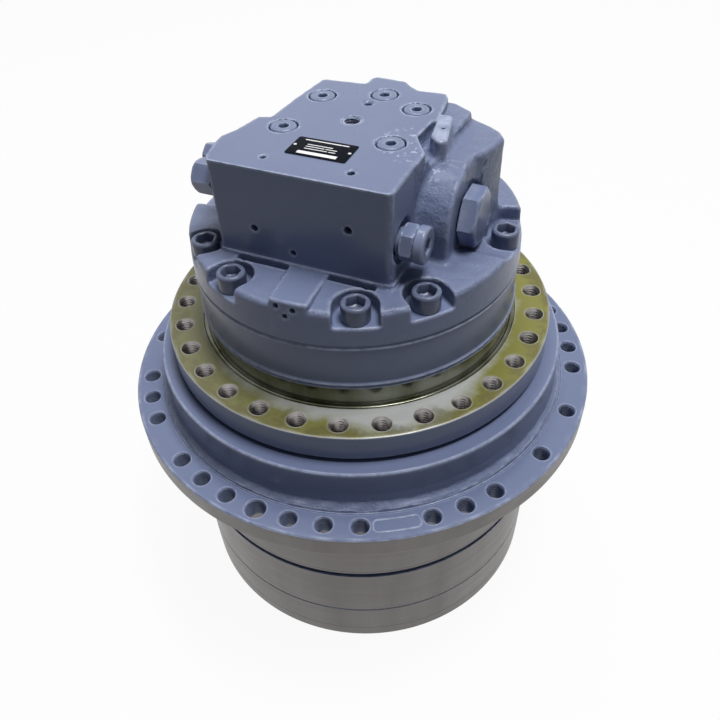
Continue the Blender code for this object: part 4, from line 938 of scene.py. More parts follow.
@dataclass
class Plugs:
    """Flush gallery plugs in the top face, and the plugs and caps on the cover's sides."""

    top: float = COVER_TOP
    radius: float = 0.0112
    socket: float = 0.0040

    def gallery_rows(self) -> list[Triple]:
        """Flush plug: a low chamfered disc with its hexagon socket.

        Returns:
            Rows of (round radius, apothem, height) for Bar.
        """
        r, s = self.radius, self.socket
        return [
            (0.0, FLAT, -0.0098), (r, FLAT, -0.0098), (r, FLAT, -0.0014), (r - 0.0004, FLAT, -0.0004),
            (r - 0.0012, FLAT, 0.0003), (r - 0.0024, FLAT, 0.0005), (s + 0.0012, FLAT, 0.0005),
            (s + 0.0007, s + 0.0004, 0.0001), (FLAT, s, -0.0008), (FLAT, s, -0.0060), (0.0, s, -0.0074),
        ]

    def cap_rows(self) -> list[Triple]:
        """Big hexagon cap of the spool with its turned chamfer.

        Returns:
            Rows of (round radius, apothem, height) for Bar.
        """
        a = 0.02217
        return [
            (0.0, FLAT, 0.0003), (a - 0.002, FLAT, 0.0003), (a - 0.001, FLAT, 0.0013),
            (0.0262, a, 0.0015), (0.0262, a, 0.0125), (0.0252, a, 0.0140), (0.0238, a, 0.0153),
            (0.0222, a, 0.0161), (0.0208, a, 0.0165), (0.0, a, 0.0165),
        ]

    def relief_rows(self) -> list[Triple]:
        """Relief plug: a hexagon, then a round end with a hexagon socket.

        Returns:
            Rows of (round radius, apothem, height) for Bar.
        """
        a = 0.0134
        return [
            (0.0, FLAT, -0.0027), (0.0112, FLAT, -0.0027), (0.0112, FLAT, 0.0012), (0.0146, FLAT, 0.0015),
            (0.0155, a, 0.0024), (0.0155, a, 0.0103), (0.0150, a, 0.0114), (0.0141, a, 0.0119),
            (0.0136, FLAT, 0.0121), (0.0146, FLAT, 0.0126),
            (0.0153, FLAT, 0.0134), (0.0153, FLAT, 0.0192), (0.0147, FLAT, 0.0202), (0.0136, FLAT, 0.0209),
            (0.0080, FLAT, 0.0209), (0.0075, 0.0064, 0.0205),
            (FLAT, 0.0060, 0.0195), (FLAT, 0.0060, 0.0130), (0.0, 0.0060, 0.0110),
        ]

    def left_rows(self) -> list[Triple]:
        """Left plug: a hexagon on a washer face, with a domed end.

        Returns:
            Rows of (round radius, apothem, height) for Bar.
        """
        a = 0.0130
        return [
            (0.0, FLAT, -0.0020), (0.0138, FLAT, -0.0020), (0.0151, a, -0.0010), (0.0151, a, 0.0140),
            (0.0145, a, 0.0155), (0.0134, a, 0.0166), (0.0120, a, 0.0173), (0.0104, a, 0.0175),
            (0.0, a, 0.0175),
        ]

    def port_rows(self) -> list[Triple]:
        """Test port plug: a collar and a small rounded hexagon.

        Returns:
            Rows of (round radius, apothem, height) for Bar.
        """
        a = 0.0092
        return [
            (0.0, FLAT, -0.0300), (0.0099, FLAT, -0.0300), (0.0099, FLAT, -0.0100), (0.0094, FLAT, -0.0096),
            (0.0105, a, -0.0092), (0.0105, a, 0.0010), (0.0098, a, 0.0024), (0.0085, a, 0.0030),
            (0.0, a, 0.0030),
        ]

    def build(self, finishes: Finishes) -> None:
        """Place every plug and cap.

        Args:
            finishes: every finish of the drive.
        """
        for number, (x, y) in enumerate(GALLERY_SPOTS):
            shell = Bar(self.gallery_rows()).shell().moved(axis_matrix((x, y, self.top), "+Z", 13 * number))
            piece = settle(f"flush_plug_{number + 1}", shell, finishes.of("enamel"))
            hand_over(piece, Body.CASING, Slot.ENAMEL, f"gallery_plug_{number + 1}")
        fittings = (
            ("cap_right", self.cap_rows(), (0.104, *SPOOL_AXIS), "+X", 0.0, "spool_cap_right"),
            ("cap_left", self.cap_rows(), (-0.104, *SPOOL_AXIS), "-X", 0.0, "spool_cap_left"),
            ("relief_right", self.relief_rows(), (0.0752, *RELIEF_RIGHT), "+X", 12.0, "relief_plug_right"),
            ("relief_left", self.left_rows(), (-0.0886, *RELIEF_LEFT), "-X", 6.0, "relief_plug_left"),
            ("port_plug", self.port_rows(), (-0.112, *PORT_AXIS), "-X", 20.0, "test_port_plug"),
        )
        for name, rows, place, way, roll, node in fittings:
            shell = Bar(rows, 72).shell().moved(axis_matrix(place, way, roll))
            piece = settle(name, shell, finishes.of("enamel"))
            hand_over(piece, Body.CASING, Slot.ENAMEL, node)


@dataclass
class Casing:
    """Stationary casing: frame flange with its tapped ring, machined neck and the spindle."""

    flange_radius: float = 0.18666
    neck: float = 0.1500
    face: float = 0.3275
    holes: int = 30

    def build(self, finishes: Finishes) -> None:
        """Make the casing.

        Args:
            finishes: every finish of the drive.
        """
        paint, film, thread, bright, neck = range(5)
        radii = np.full(self.holes, 0.0078)
        ring = DrilledRing(
            self.holes, 0.0, 0.172, self.face, self.face - 0.0175, (0.1545, 0.1852), (0.16, 0.17), radii,
            chamfer=0.0009, pitch=0.0030, thread=0.0014, arc_steps=12, side_steps=5, blind=True,
        )
        shell = Shell()
        ring.build(shell, film, thread, paint)
        around = ring.angles
        rim = rounded(
            [(0.1852, self.face), (self.flange_radius, self.face - 0.0006, 0.0005),
             (self.flange_radius, 0.3022, 0.0008), (0.1856, 0.3015), (0.16306, 0.3015)],
            0.0, closed=False,
        )
        shell.profile(rim[:3], around, film)
        shell.profile(rim[2:], around, paint)
        foot = rounded(
            [(0.1545, self.face), (0.1538, self.face, 0.0005), (0.1534, self.face - 0.0022, 0.0004),
             (0.1494, self.face - 0.0022, 0.0012), (0.1494, 0.3466), (0.1494, 0.3476)],
            0.0, closed=False,
        )
        shell.profile(foot[:9], around, film)
        shell.profile(foot[8:], around, neck)
        band = rounded(
            [(0.1494, 0.3476), (0.1511, 0.3484, 0.0003), (0.1511, 0.3492, 0.0004), (0.1494, 0.3503, 0.0002),
             (0.1494, 0.3510, 0.0002), (0.1514, 0.3520, 0.0003), (0.1514, 0.3531, 0.0006),
             (self.neck, 0.3549, 0.0010), (self.neck, 0.3902, 0.0004), (0.1509, 0.3912, 0.0003),
             (0.1509, 0.3922, 0.0006), (0.1492, 0.3941, 0.0002), (0.1492, 0.3957), (0.104, 0.3957)],
            0.0, closed=False,
        )
        shell.profile(band, around, paint)
        inside = np.array(
            [(0.104, 0.3957), (0.104, 0.322), (0.095, 0.322), (0.095, 0.225), (0.045, 0.225), (0.045, 0.184),
             (0.034, 0.184), (0.034, 0.162), (0.1055, 0.162), (0.1055, 0.128), (0.123, 0.128),
             (0.123, 0.2657), (0.1390, 0.2657), (0.1390, 0.3135), (0.16306, 0.3135), (0.16306, 0.3015)]
        )
        shell.profile(inside, around, bright)
        names = ("enamel", "filmed_face", "thread_steel", "bright_steel", "filmed_neck")
        piece = settle("casing_body", shell, finishes.of(*names))
        hand_over(piece, Body.CASING, Slot.ENAMEL, "motor_casing")


@dataclass
class Hub:
    """Turning hub: pilot ring, sprocket flange with its 44 places, and the drum down to the ring gears."""

    face: float = 0.253
    underside: float = 0.231
    drum: float = 0.1930
    rim: float = 0.2350
    plain: tuple[int, ...] = (1, 7, 15, 19, 21, 23, 25, 29, 37, 41, 43)
    wide: tuple[int, ...] = (11, 33)

    def ring(self) -> DrilledRing:
        """The sprocket flange's ring of holes.

        Returns:
            The ring, with no hole at the plain places.
        """
        radii = np.full(44, 0.0080)
        radii[list(self.plain)] = 0.0
        radii[list(self.wide)] = 0.0095
        return DrilledRing(
            44, math.radians(-1.3), 0.220, self.face, self.underside, (0.2093, 0.2338), (0.2040, 0.2338),
            radii, chamfer=0.0007, pitch=0.0025, thread=0.0007,
        )

    def build(self, finishes: Finishes) -> None:
        """Make the hub.

        Args:
            finishes: every finish of the drive.
        """
        paint, steel, bright = range(3)
        ring = self.ring()
        shell = Shell()
        ring.build(shell, paint, paint, paint)
        around = ring.angles
        edge = rounded(
            [(0.2338, self.face), (self.rim, self.face - 0.0012, 0.0008),
             (self.rim, self.underside + 0.001, 0.0008), (0.2338, self.underside)],
            0.0, closed=False,
        )
        shell.profile(edge[:4], around, paint)
        shell.profile(edge[3:], around, steel)
        pilot = rounded(
            [(0.2093, self.face), (0.2090, self.face, 0.0002), (0.2086, self.face - 0.0008, 0.0002),
             (0.2080, self.face - 0.0008, 0.0002), (0.2076, self.face, 0.0003),
             (0.2068, self.face + 0.0003, 0.0005), (0.2064, self.face + 0.0022, 0.0007),
             (0.2048, self.face + 0.0040, 0.0016),
             (0.2010, self.face + 0.0068, 0.0040), (0.2000, 0.2700), (0.2004, 0.2935, 0.0060),
             (0.2000, 0.2956, 0.0010), (0.1986, 0.2965, 0.0010), (0.16306, 0.2965)],
            0.0, steps=4, closed=False,
        )
        pilot = guarded(pilot)
        rows = np.repeat(pilot[:, None, :], len(around), axis=1)
        radius, level = rows[..., 0], rows[..., 1]
        points = np.stack((radius * np.cos(around), radius * np.sin(around), level), axis=-1)
        low = np.clip((radius - 0.2001) / 0.002, 0, 1) * np.clip((0.2070 - radius) / 0.0008, 0, 1)
        wander = low * np.clip((0.2640 - level) / 0.003, 0, 1)
        lumps = 0.0008 * bumps(points, 420, 4) + 0.0007 * bumps(points, 170, 9)
        points[..., 2] += wander * lumps
        shell.add(points, grid_faces(len(pilot), len(around)), paint)
        drum = rounded(
            [(0.2040, self.underside), (0.1952, self.underside, 0.003), (0.1945, 0.2262, 0.001),
             (0.1940, 0.2225, 0.0004), (0.1936, 0.2222), (0.1936, 0.2214), (self.drum, 0.2210),
             (self.drum, 0.1330), (0.1892, 0.1330)],
            0.0, closed=False,
        )
        step = np.flatnonzero(drum[:, 1] < 0.2223)[0]
        shell.profile(drum[:step], around, paint)
        shell.profile(drum[step - 1:step + 2], around, bright)
        shell.profile(drum[step + 1:], around, steel)
        inside = np.array(
            [(0.1892, 0.1330), (0.15686, 0.1330), (0.15686, 0.1794), (0.1501, 0.1794), (0.1501, 0.2334),
             (0.15686, 0.2334), (0.15686, 0.2665), (0.16106, 0.2665), (0.16106, 0.2965), (0.16306, 0.2965)]
        )
        shell.profile(inside, around, bright)
        piece = settle("hub_body", shell, finishes.of("enamel", "drum_steel", "bright_steel"))
        store(piece.data, "cast", cast_mask(piece.data))
        hand_over(piece, Body.HUB, Slot.ENAMEL, "hub")
        self.cartouche(finishes)

    def cartouche(self, finishes: Finishes) -> None:
        """Bare cast frame on the flange: a half-round bead along a rounded rectangle.

        The path runs s metres along the pitch circle and v across it, so x = (R + v) cos(a + s / R), and the
        bead's section is w cos(t) across the path and h sin(t) up.

        Args:
            finishes: every finish of the drive.
        """
        path = rounded(
            [(-0.0205, -0.0062), (0.0205, -0.0062), (0.0205, 0.0062), (-0.0205, 0.0062)], 0.0042, steps=6
        )
        path = np.vstack([path[i] + (path[(i + 1) % len(path)] - path[i]) * np.linspace(0, 1, 5)[:-1, None]
                          for i in range(len(path))])
        along = np.roll(path, -1, axis=0) - np.roll(path, 1, axis=0)
        along /= np.linalg.norm(along, axis=1)[:, None]
        side = np.stack((along[:, 1], -along[:, 0]), axis=-1)
        lap = np.linspace(0, TURN, 13)[:-1]
        across = path[:, None] + side[:, None] * (0.0011 * np.cos(lap))[None, :, None]
        height = self.face + 0.0009 * np.sin(lap)[None, :] + 0 * across[..., 0]
        radius = 0.2208 + across[..., 1]
        angle = math.radians(-58.6) + across[..., 0] / 0.2208
        points = np.stack((radius * np.cos(angle), radius * np.sin(angle), height), axis=-1)
        shell = Shell()
        points = np.vstack((points, points[:1]))
        shell.add(points, grid_faces(len(points), len(lap)))
        piece = settle("cast_frame", shell, finishes.of("enamel"))
        hand_over(piece, Body.HUB, Slot.ENAMEL)


def cast_mask(mesh: bpy.types.Mesh) -> np.ndarray:
    """Rough skin on the lower part of the pilot ring only: 1 below its machined band, 0 elsewhere.

    Args:
        mesh: the hub's mesh.

    Returns:
        One number for each vertex.
    """
    places = np.empty(len(mesh.vertices) * 3)
    mesh.vertices.foreach_get("co", places)
    places = places.reshape(-1, 3)
    radius = np.hypot(places[:, 0], places[:, 1])
    height = places[:, 2]
    rows = np.clip((0.2078 - radius) / 0.0006, 0, 1) * np.clip((radius - 0.1960) / 0.001, 0, 1)
    return rows * np.clip((height - 0.2525) / 0.0006, 0, 1) * np.clip((0.268 - height) / 0.006, 0, 1)


@dataclass
class RingGear:
    """One toothed ring of the drum.

    The inner radius follows rp + (w - t / 2) / tan(20) between tip and root, with w the distance from a
    tooth's middle along the pitch circle and t the tooth's thickness. A groove, where there is one, runs
    round the outside between two heights.
    """

    name: str
    node: str
    teeth: int
    start: float
    low: float
    high: float
    groove: tuple[float, float] | None = None
    module: float = 0.008
    outer: float = 0.1930

    def build(self, finishes: Finishes) -> None:
        """Make the ring.

        Args:
            finishes: every finish of the drive.
        """
        steps = self.teeth * 12
        angles = TURN * np.arange(steps) / steps
        pitch = self.module * self.teeth / 2
        turns = (angles - math.radians(self.start)) * self.teeth / TURN
        away = np.abs((turns % 1.0) - 0.5) / self.teeth * TURN * pitch
        thickness = math.pi * self.module / 2 - 0.1 * self.module
        inner = pitch + (away - thickness / 2) / math.tan(math.radians(20))
        inner = np.clip(inner, pitch - 0.83 * self.module, pitch + 1.2 * self.module)
        steel, teeth, paint = range(3)
        outer, low, high = self.outer, self.low, self.high
        shell = Shell()
        foot = [(outer - 0.002, low), (outer - 0.0010, low, 0.0001), (outer, low + 0.0009, 0.0002)]
        if self.groove:
            start, end = self.groove
            wall = foot + [(outer, start - 0.0005), (outer, start - 0.0004)]
            dip = [(outer, start - 0.0004), (outer - 0.0008, start, 0.0003), (outer - 0.0060, start, 0.0006),
                   (outer - 0.0060, end, 0.0006), (outer - 0.0006, end, 0.0003), (outer, end + 0.0004)]
            shell.profile(rounded(wall, 0.0, closed=False), angles, steel)
            shell.profile(rounded(dip, 0.0, closed=False), angles, paint)
            above = np.array([(outer, end + 0.0004), (outer, high), (outer - 0.002, high)])
            shell.profile(above, angles, steel)
        else:
            wall = foot + [(outer, high - 0.0013), (outer, high - 0.0012)]
            shell.profile(rounded(wall, 0.0, closed=False), angles, steel)
            # the top chamfer takes the blue enamel: a painted highlight that draws a bluish line along the
            # seam
            edge = np.array([(outer, high - 0.0012), (outer - 0.0011, high), (outer - 0.002, high)])
            shell.profile(edge, angles, paint)
        ring = outer - 0.002 + 0 * angles
        shell.lathe(np.stack((ring, inner)), np.array([high, high]), angles, steel)
        shell.lathe(np.stack((inner, inner)), np.array([high, low]), angles, teeth)
        shell.lathe(np.stack((inner, ring)), np.array([low, low]), angles, steel)
        piece = settle(self.name, shell, finishes.of("drum_steel", "gear_steel_finish", "enamel"))
        hand_over(piece, Body.HUB, Slot.DRUM, self.node)


@dataclass
class EndCover:
    """Closing plate under the drum with its recessed cap screws and two plugs."""

    radius: float = 0.1927
    top: float = 0.0177
    bolt_radius: float = 0.1740
    bolts: int = 12
    recess: float = 0.0101

    def build(self, finishes: Finishes) -> None:
        """Make the plate, its screws and plugs.

        Args:
            finishes: every finish of the drive.
        """
        shell = Shell()
        ring = DrilledRing(
            self.bolts, math.radians(15), self.bolt_radius, 0.0, -0.0100, (0.1580, 0.1888), (0.16, 0.17),
            np.full(self.bolts, 0.0133), chamfer=0.0006, pitch=0.004, thread=0.0, arc_steps=28, side_steps=8,
            blind=True,
        )
        ring.build(shell, 0, 0, 0)
        shell.moved(Matrix.Scale(-1, 4, (0, 0, 1)))
        for points in shell.points:
            points[:, 2] = np.minimum(points[:, 2], self.recess)
        around = ring.angles
        rim = rounded(
            [(0.1888, 0.0), (self.radius, 0.0026, 0.0010), (self.radius, 0.0165, 0.0004), (0.1912, self.top),
             (0.030, self.top), (0.030, self.top + 0.0025), (0.0, self.top + 0.0025)],
            0.0, closed=False,
        )
        shell.profile(rim, around, 0)
        middle = [(0.1580, 0.0), (0.1500, 0.0), (0.1470, 0.0018), (0.0600, 0.0018), (0.0570, 0.0), (0.0, 0.0)]
        shell.profile(rounded(middle, 0.001, closed=False), around, 0)
        piece = settle("closing_plate", shell, finishes.of("drum_steel"))
        hand_over(piece, Body.HUB, Slot.DRUM, "end_cover")
        for number in range(self.bolts):
            turn = math.radians(15 + 360 * number / self.bolts)
            spot = (self.bolt_radius * math.cos(turn), self.bolt_radius * math.sin(turn), 0.0098)
            shell = Bar(self.screw_rows()).shell().moved(axis_matrix(spot, "-Z", 11 * number))
            piece = settle(f"plate_screw_{number + 1:02d}", shell, finishes.of("bare_steel_finish"))
            hand_over(piece, Body.HUB, Slot.STEEL)
        for name, side, node in (("drain_fitting", -1, "drain_plug"), ("level_fitting", 1, "level_plug")):
            rows = [
                (0.0, FLAT, -0.0135), (0.0141, FLAT, -0.0135), (0.0141, FLAT, -0.0008), (0.0135, FLAT, 0.0),
                (0.0078, FLAT, 0.0), (0.0072, 0.0063, -0.0004), (FLAT, 0.0060, -0.0014),
                (FLAT, 0.0060, -0.0070), (0.0, 0.0060, -0.0085),
            ]
            shell = Bar(rows).shell().moved(axis_matrix((0, side * 0.100, 0.0008), "-Z"))
            piece = settle(name, shell, finishes.of("bare_steel_finish"))
            hand_over(piece, Body.HUB, Slot.STEEL, node)

    def screw_rows(self) -> list[Triple]:
        """Low socket head, from its seat down to the plate's face.

        Returns:
            Rows of (round radius, apothem, height) for Bar.
        """
        r, h, s = 0.0105, 0.0092, 0.0060
        return [
            (0.0, FLAT, 0.0), (r - 0.0004, FLAT, 0.0), (r, FLAT, 0.0004), (r, FLAT, h - 0.0014),
            (r - 0.0004, FLAT, h - 0.0005), (r - 0.0014, FLAT, h), (s + 0.0016, FLAT, h),
            (s + 0.0011, s + 0.0004, h - 0.0004), (FLAT, s, h - 0.0014), (FLAT, s, h - 0.0060),
            (0.0, s, h - 0.0072),
        ]


def join(one: np.ndarray, two: np.ndarray, radius: float) -> np.ndarray:
    """Union of two distance fields with a fillet: max(r, min(a, b)) - |(max(r - a, 0), max(r - b, 0))|.

    Args:
        one: first field.
        two: second field.
        radius: radius of the fillet.

    Returns:
        The joined field.
    """
    return np.maximum(radius, np.minimum(one, two)) - np.hypot(
        np.maximum(radius - one, 0), np.maximum(radius - two, 0)
    )


def meet(one: np.ndarray, two: np.ndarray, radius: float) -> np.ndarray:
    """Intersection of two distance fields with a rounded edge, the mirror image of join."""
    return -join(-one, -two, radius)


def outline_field(outline: np.ndarray, x: np.ndarray, y: np.ndarray) -> np.ndarray:
    """Signed distance to a closed outline: least distance to its sides, negative where the winding is odd.

    Args:
        outline: corners of the outline.
        x: positions along X.
        y: positions along Y.

    Returns:
        The distance at each position.
    """
    best = np.full(np.broadcast(x, y).shape, 1e9)
    inside = np.zeros(best.shape, dtype=bool)
    for (ax, ay), (bx, by) in zip(outline, np.roll(outline, -1, axis=0)):
        ex, ey = bx - ax, by - ay
        share = np.clip(((x - ax) * ex + (y - ay) * ey) / (ex * ex + ey * ey), 0, 1)
        best = np.minimum(best, np.hypot(x - ax - ex * share, y - ay - ey * share))
        if ay != by:
            crossing = ((ay > y) != (by > y)) & (x < ex * (y - ay) / ey + ax)
            inside ^= crossing
    return np.where(inside, -best, best)


def rod(
    x: np.ndarray, y: np.ndarray, z: np.ndarray, one: tuple[float, ...], two: tuple[float, ...], size: float
) -> np.ndarray:
    """Distance to a round rod between two points, all three in millimetres.

    Args:
        x: positions along X.
        y: positions along Y.
        z: positions along Z.
        one: one end.
        two: other end.
        size: radius of the rod.

    Returns:
        The distance at each position.
    """
    start = np.array(one) * 0.001
    way = np.array(two) * 0.001 - start
    apart = (x - start[0], y - start[1], z - start[2])
    share = np.clip(sum(part * step for part, step in zip(apart, way)) / (way @ way), 0, 1)
    spread = sum((part - step * share) ** 2 for part, step in zip(apart, way))
    return np.sqrt(spread) - size * 0.001


def stretch(
    low: float, high: float, coarse: float, fine: float, marks: tuple[tuple[float, float], ...]
) -> np.ndarray:
    """Grid line positions: even steps, finer inside the marked spans.

    Args:
        low: first line.
        high: height or place that the last line reaches.
        coarse: usual step.
        fine: step inside the marks.
        marks: start and end of each span.

    Returns:
        The lines' positions.
    """
    line = [low]
    while line[-1] < high:
        near = any(start <= line[-1] < stop for start, stop in marks)
        line.append(line[-1] + (fine if near else coarse))
    return np.array(line)


@dataclass
class MotorCover:
    """Cast rear cover: flange with screw pockets, valve block, bosses, ear and lifting lug.

    The surface is the zero level of a distance field worked out on a grid: outlines and circles joined and
    cut with fillets. Every cell that the surface crosses gets one vertex, which Newton steps along the
    field's slope then bring onto the surface.
    """

    base: float = 0.3963
    seat: float = 0.4130
    pad: float = 0.4270
    top: float = COVER_TOP
    radius: float = 0.1510
    step: float = 0.0016
    fine: float = 0.0008
    pocket: float = 0.0188
    plan: dict[str, np.ndarray] = field(default_factory=dict)

    def outlines(self) -> dict[str, np.ndarray]:
        """Plan outlines in metres: the block, its top face, the ear, the shelf and the lug.

        Returns:
            Outlines by name.
        """
        raw = {
            "block": (
                [(-78.4, -98, 1.2), (75.2, -98, 5.0), (75.2, -54.9), (77, -28, 3), (82, 10, 4), (84, 66, 6),
                 (66, 76, 5), (54, 77), (31.2, 76, 5), (21.6, 82.3, 4), (14, 90.2, 4), (-14, 92.1, 4),
                 (-18, 87.2, 3), (-18, 74.5, 4), (-57.6, 72, 6), (-60, 68.6), (-64.8, 24), (-67.2, -14.7, 3),
                 (-77.6, -17.6, 4), (-83.2, -46.1, 4), (-88.8, -58.8, 4), (-88, -70.6, 4), (-83.2, -92.1, 4)],
                2.5,
            ),
            "face": (
                [(-84, -104), (84, -104), (84, -40), (72.5, -26, 4), (61.3, -6.7, 4), (63.5, 23, 6),
                 (65, 43, 5), (61, 70, 5), (54, 82), (24, 98), (-24, 98), (-24, 80), (-66, 78), (-72, 24),
                 (-76, -14), (-86, -17), (-96, -50), (-96, -80)],
                2.0,
            ),
            "ear": (
                [(58, -8), (103, -8, 2), (105.5, 8, 4), (111, 15, 5), (114.5, 25, 5), (117, 35, 4),
                 (119.3, 46, 6), (113, 56, 6), (104, 62.5, 6), (82, 74.3, 7), (58, 80)],
                4.0,
            ),
            "shelf": ([(56, 24, 5), (76, 24, 5), (82, 36, 4), (83.5, 66, 5), (66, 76, 5), (50, 79)], 3.0),
            "lug": ([(64, 38), (76, 37), (79, 25), (86, -8), (79, -12), (70, -2)], 3.5),
            "ramp": ([(-16, -90), (-7.1, -150.3), (-6.5, -156), (26, -156), (25.4, -148.3), (20, -90)], 0.5),
            "scoop": ([(61, -6), (69, -18), (79, -26), (92, -24), (90, -2), (84, 24), (64, 26)], 5.0),
        }
        return {name: rounded(points, radius) * 0.001 for name, (points, radius) in raw.items()}

    def flange(self, x: np.ndarray, y: np.ndarray, z: np.ndarray) -> np.ndarray:
        """Flange with its drafted rim, the trench along the block's foot and the ramp at the front.

        The rim's radius falls by 1.7 mm over its height, and the ramp climbs 5 mm from the block to the rim.

        Args:
            x: positions along X.
            y: positions along Y.
            z: positions along Z.

        Returns:
            The flange's field.
        """
        away = np.hypot(x, y)
        rim = away - self.radius + 0.0017 * np.clip((z - self.base) / 0.031, 0, 1)
        flange = meet(rim, z - self.pad, 0.0042)
        trench = np.maximum(np.abs(y + 0.1015) - 0.0026, np.abs(x) - 0.063)
        flange = meet(flange, -np.maximum(trench, 0.4212 - z), 0.0008)
        flange = self.pockets(flange, x, y, z)
        ramp = meet(outline_field(self.plan["ramp"], x, y), z - 0.428 + 0.096 * (y + 0.098), 0.0014)
        return join(flange, meet(ramp, rim, 0.0024), 0.0012)

    def field(self, x: np.ndarray, y: np.ndarray, z: np.ndarray) -> np.ndarray:
        """Distance to the cover's skin, negative inside; x, y and z broadcast against each other.

        Args:
            x: positions along X.
            y: positions along Y.
            z: positions along Z.

        Returns:
            The cover's field.
        """
        plan = self.plan
        block_plan = outline_field(plan["block"], x, y)
        block = meet(block_plan, z - 0.5030, 0.0022)
        side = np.clip((x - 0.060) / 0.010, 0, 1) * np.clip((y + 0.096) / 0.010, 0, 1)
        tower = meet(block_plan, z - self.top, 0.0007 + 0.0022 * side)
        tower = meet(tower, outline_field(plan["face"], x, y), 0.0014)
        block = join(block, tower, 1e-5 + 0.0030 * side * np.clip((y + 0.030) / 0.006, 0, 1))
        ledge = meet(block_plan - 0.0015, z - 0.4305, 0.0005)
        body = join(self.flange(x, y, z), join(block, ledge, 0.0004), 0.0008)
        row, level = SPOOL_AXIS
        girth = 0.0440 - 0.06 * np.clip(x - 0.08, 0, 0.03)
        right = meet(self.arch(y - row, z - level, girth), x - 0.104, 0.0024)
        body = join(body, np.maximum(right, 0.03 - x), 0.0050)
        ear = meet(outline_field(plan["ear"], x, y), z - 0.4950, 0.0045)
        slope = 0.0012 * np.exp(-(((z - 0.420) / 0.014) ** 2))
        body = join(body, ear - slope, 0.0055)
        shelf = meet(outline_field(plan["shelf"], x, y), z - 0.5030, 0.0020)
        body = join(body, shelf, 0.0030)
        left = meet(self.arch(y - row, z - level, 0.0400), -x - 0.104, 0.0024)
        body = join(body, np.maximum(left, x + 0.03), 0.0050)
        scoop = meet(outline_field(plan["scoop"], x, y), 0.4965 + 0.10 * np.clip(y, 0, 0.03) - z, 0.0040)
        body = meet(body, -scoop, 0.0016)
        lug = meet(outline_field(plan["lug"], x, y), z - 0.5110, 0.0026)
        lug = np.maximum(lug, 0.48 - z)
        body = join(body, lug, 0.0035)
        return self.drill(body, x, y, z)

    @staticmethod
    def arch(across: np.ndarray, up: np.ndarray, radius: np.ndarray) -> np.ndarray:
        """Distance to an arch: round above its centre, straight sides below."""
        return np.hypot(across, np.maximum(up, 0)) - radius

    def pockets(self, body: np.ndarray, x: np.ndarray, y: np.ndarray, z: np.ndarray) -> np.ndarray:
        """Cut the screw pockets: round towards the axis, straight out to the rim, two of them wider.

        Args:
            body: field that is cut.
            x: positions along X.
            y: positions along Y.
            z: positions along Z.

        Returns:
            The field with its pockets.
        """
        cut = 1e9
        for degrees in CapScrews.angles + (14.5, 188.5):
            turn = math.radians(degrees)
            u = x * math.cos(turn) + y * math.sin(turn) - 0.1365
            v = -x * math.sin(turn) + y * math.cos(turn)
            cut = np.minimum(cut, np.hypot(np.minimum(u, 0), v) - self.pocket)
        return meet(body, -meet(cut, self.seat - z, 0.0018), 0.0016)

    def drill(self, body: np.ndarray, x: np.ndarray, y: np.ndarray, z: np.ndarray) -> np.ndarray:
        """Cut the bores, plug seats, lifting hole and small holes.

        Args:
            body: field that is cut.
            x: positions along X.
            y: positions along Y.
            z: positions along Z.

        Returns:
            The field with its holes.
        """
        for px, py in GALLERY_SPOTS:
            seat = np.hypot(x - px, y - py)
            body = meet(body, -np.maximum(seat - 0.0124, self.top - 0.0100 - z), 0.0004)
        lift = np.hypot(x - LIFTING_SPOT[0], y - LIFTING_SPOT[1])
        body = meet(body, -np.maximum(lift - 0.0080, self.top - 0.024 - z), 0.0004)
        tops = ((-0.7, 37.8, 3.0), (-39.7, -78.4, 2.6), (34.6, -77.7, 2.8), (76.0, 12.0, 1.4))
        for px, py, size in tops:
            hole = np.hypot(x - px * 0.001, y - py * 0.001)
            body = meet(body, -np.maximum(hole - size * 0.001, self.top - 0.012 - z), 0.0005)
            dimple = np.hypot(hole, z - self.top - 0.0062) - 0.0078 * size / 2.8
            body = meet(body, -dimple, 0.0005)
        for px, pz, size in ((-44.4, 203.3, 3.2), (39.2, 219.7, 3.3), (-10.7, 187.4, 2.6)):
            hole = np.hypot(x - px * 0.001, z - (253 + pz) * 0.001)
            body = meet(body, -np.maximum(hole - size * 0.001, y + 0.086), 0.0005)
        spool, right, left, port = (
            np.hypot(y - row, z - level)
            for row, level in (SPOOL_AXIS, RELIEF_RIGHT, RELIEF_LEFT, PORT_AXIS)
        )
        body = np.maximum(body, -(spool - 0.0153))
        body = np.maximum(body, -np.maximum(spool - 0.0193, 0.0842 - np.abs(x)))
        body = meet(body, -np.maximum(spool - 0.0290, 0.1041 - np.abs(x)), 0.0010)
        body = np.maximum(body, -np.maximum(np.hypot(x, y) - 0.0190, z - 0.4103))
        body = meet(body, -np.maximum(right - 0.0184, 0.0716 - x), 0.0006)
        body = np.maximum(body, -np.maximum(right - 0.0113, 0.058 - x))
        body = np.maximum(body, -np.maximum(left - 0.0113, x + 0.070))
        body = np.maximum(body, -np.maximum(port - 0.0103, x + 0.076))
        for one, two, size in (
            ((111.2, 16.2, 482.0), (112.8, 17.8, 485.5), 1.7),
            ((109.8, 13.2, 465.5), (110.8, 14.8, 473.5), 1.5),
        ):
            body = meet(body, -rod(x, y, z, one, two, size), 0.0006)
        for degrees, height in ((-90.4, 0.4273), (-85.0, 0.4254), (-87.6, 0.4190)):
            turn = math.radians(degrees)
            v = -x * math.sin(turn) + y * math.cos(turn)
            pin = np.hypot(v, z - height) - 0.0022
            reach = 0.1420 - (x * math.cos(turn) + y * math.sin(turn))
            body = meet(body, -np.maximum(pin, reach), 0.0004)
        return body

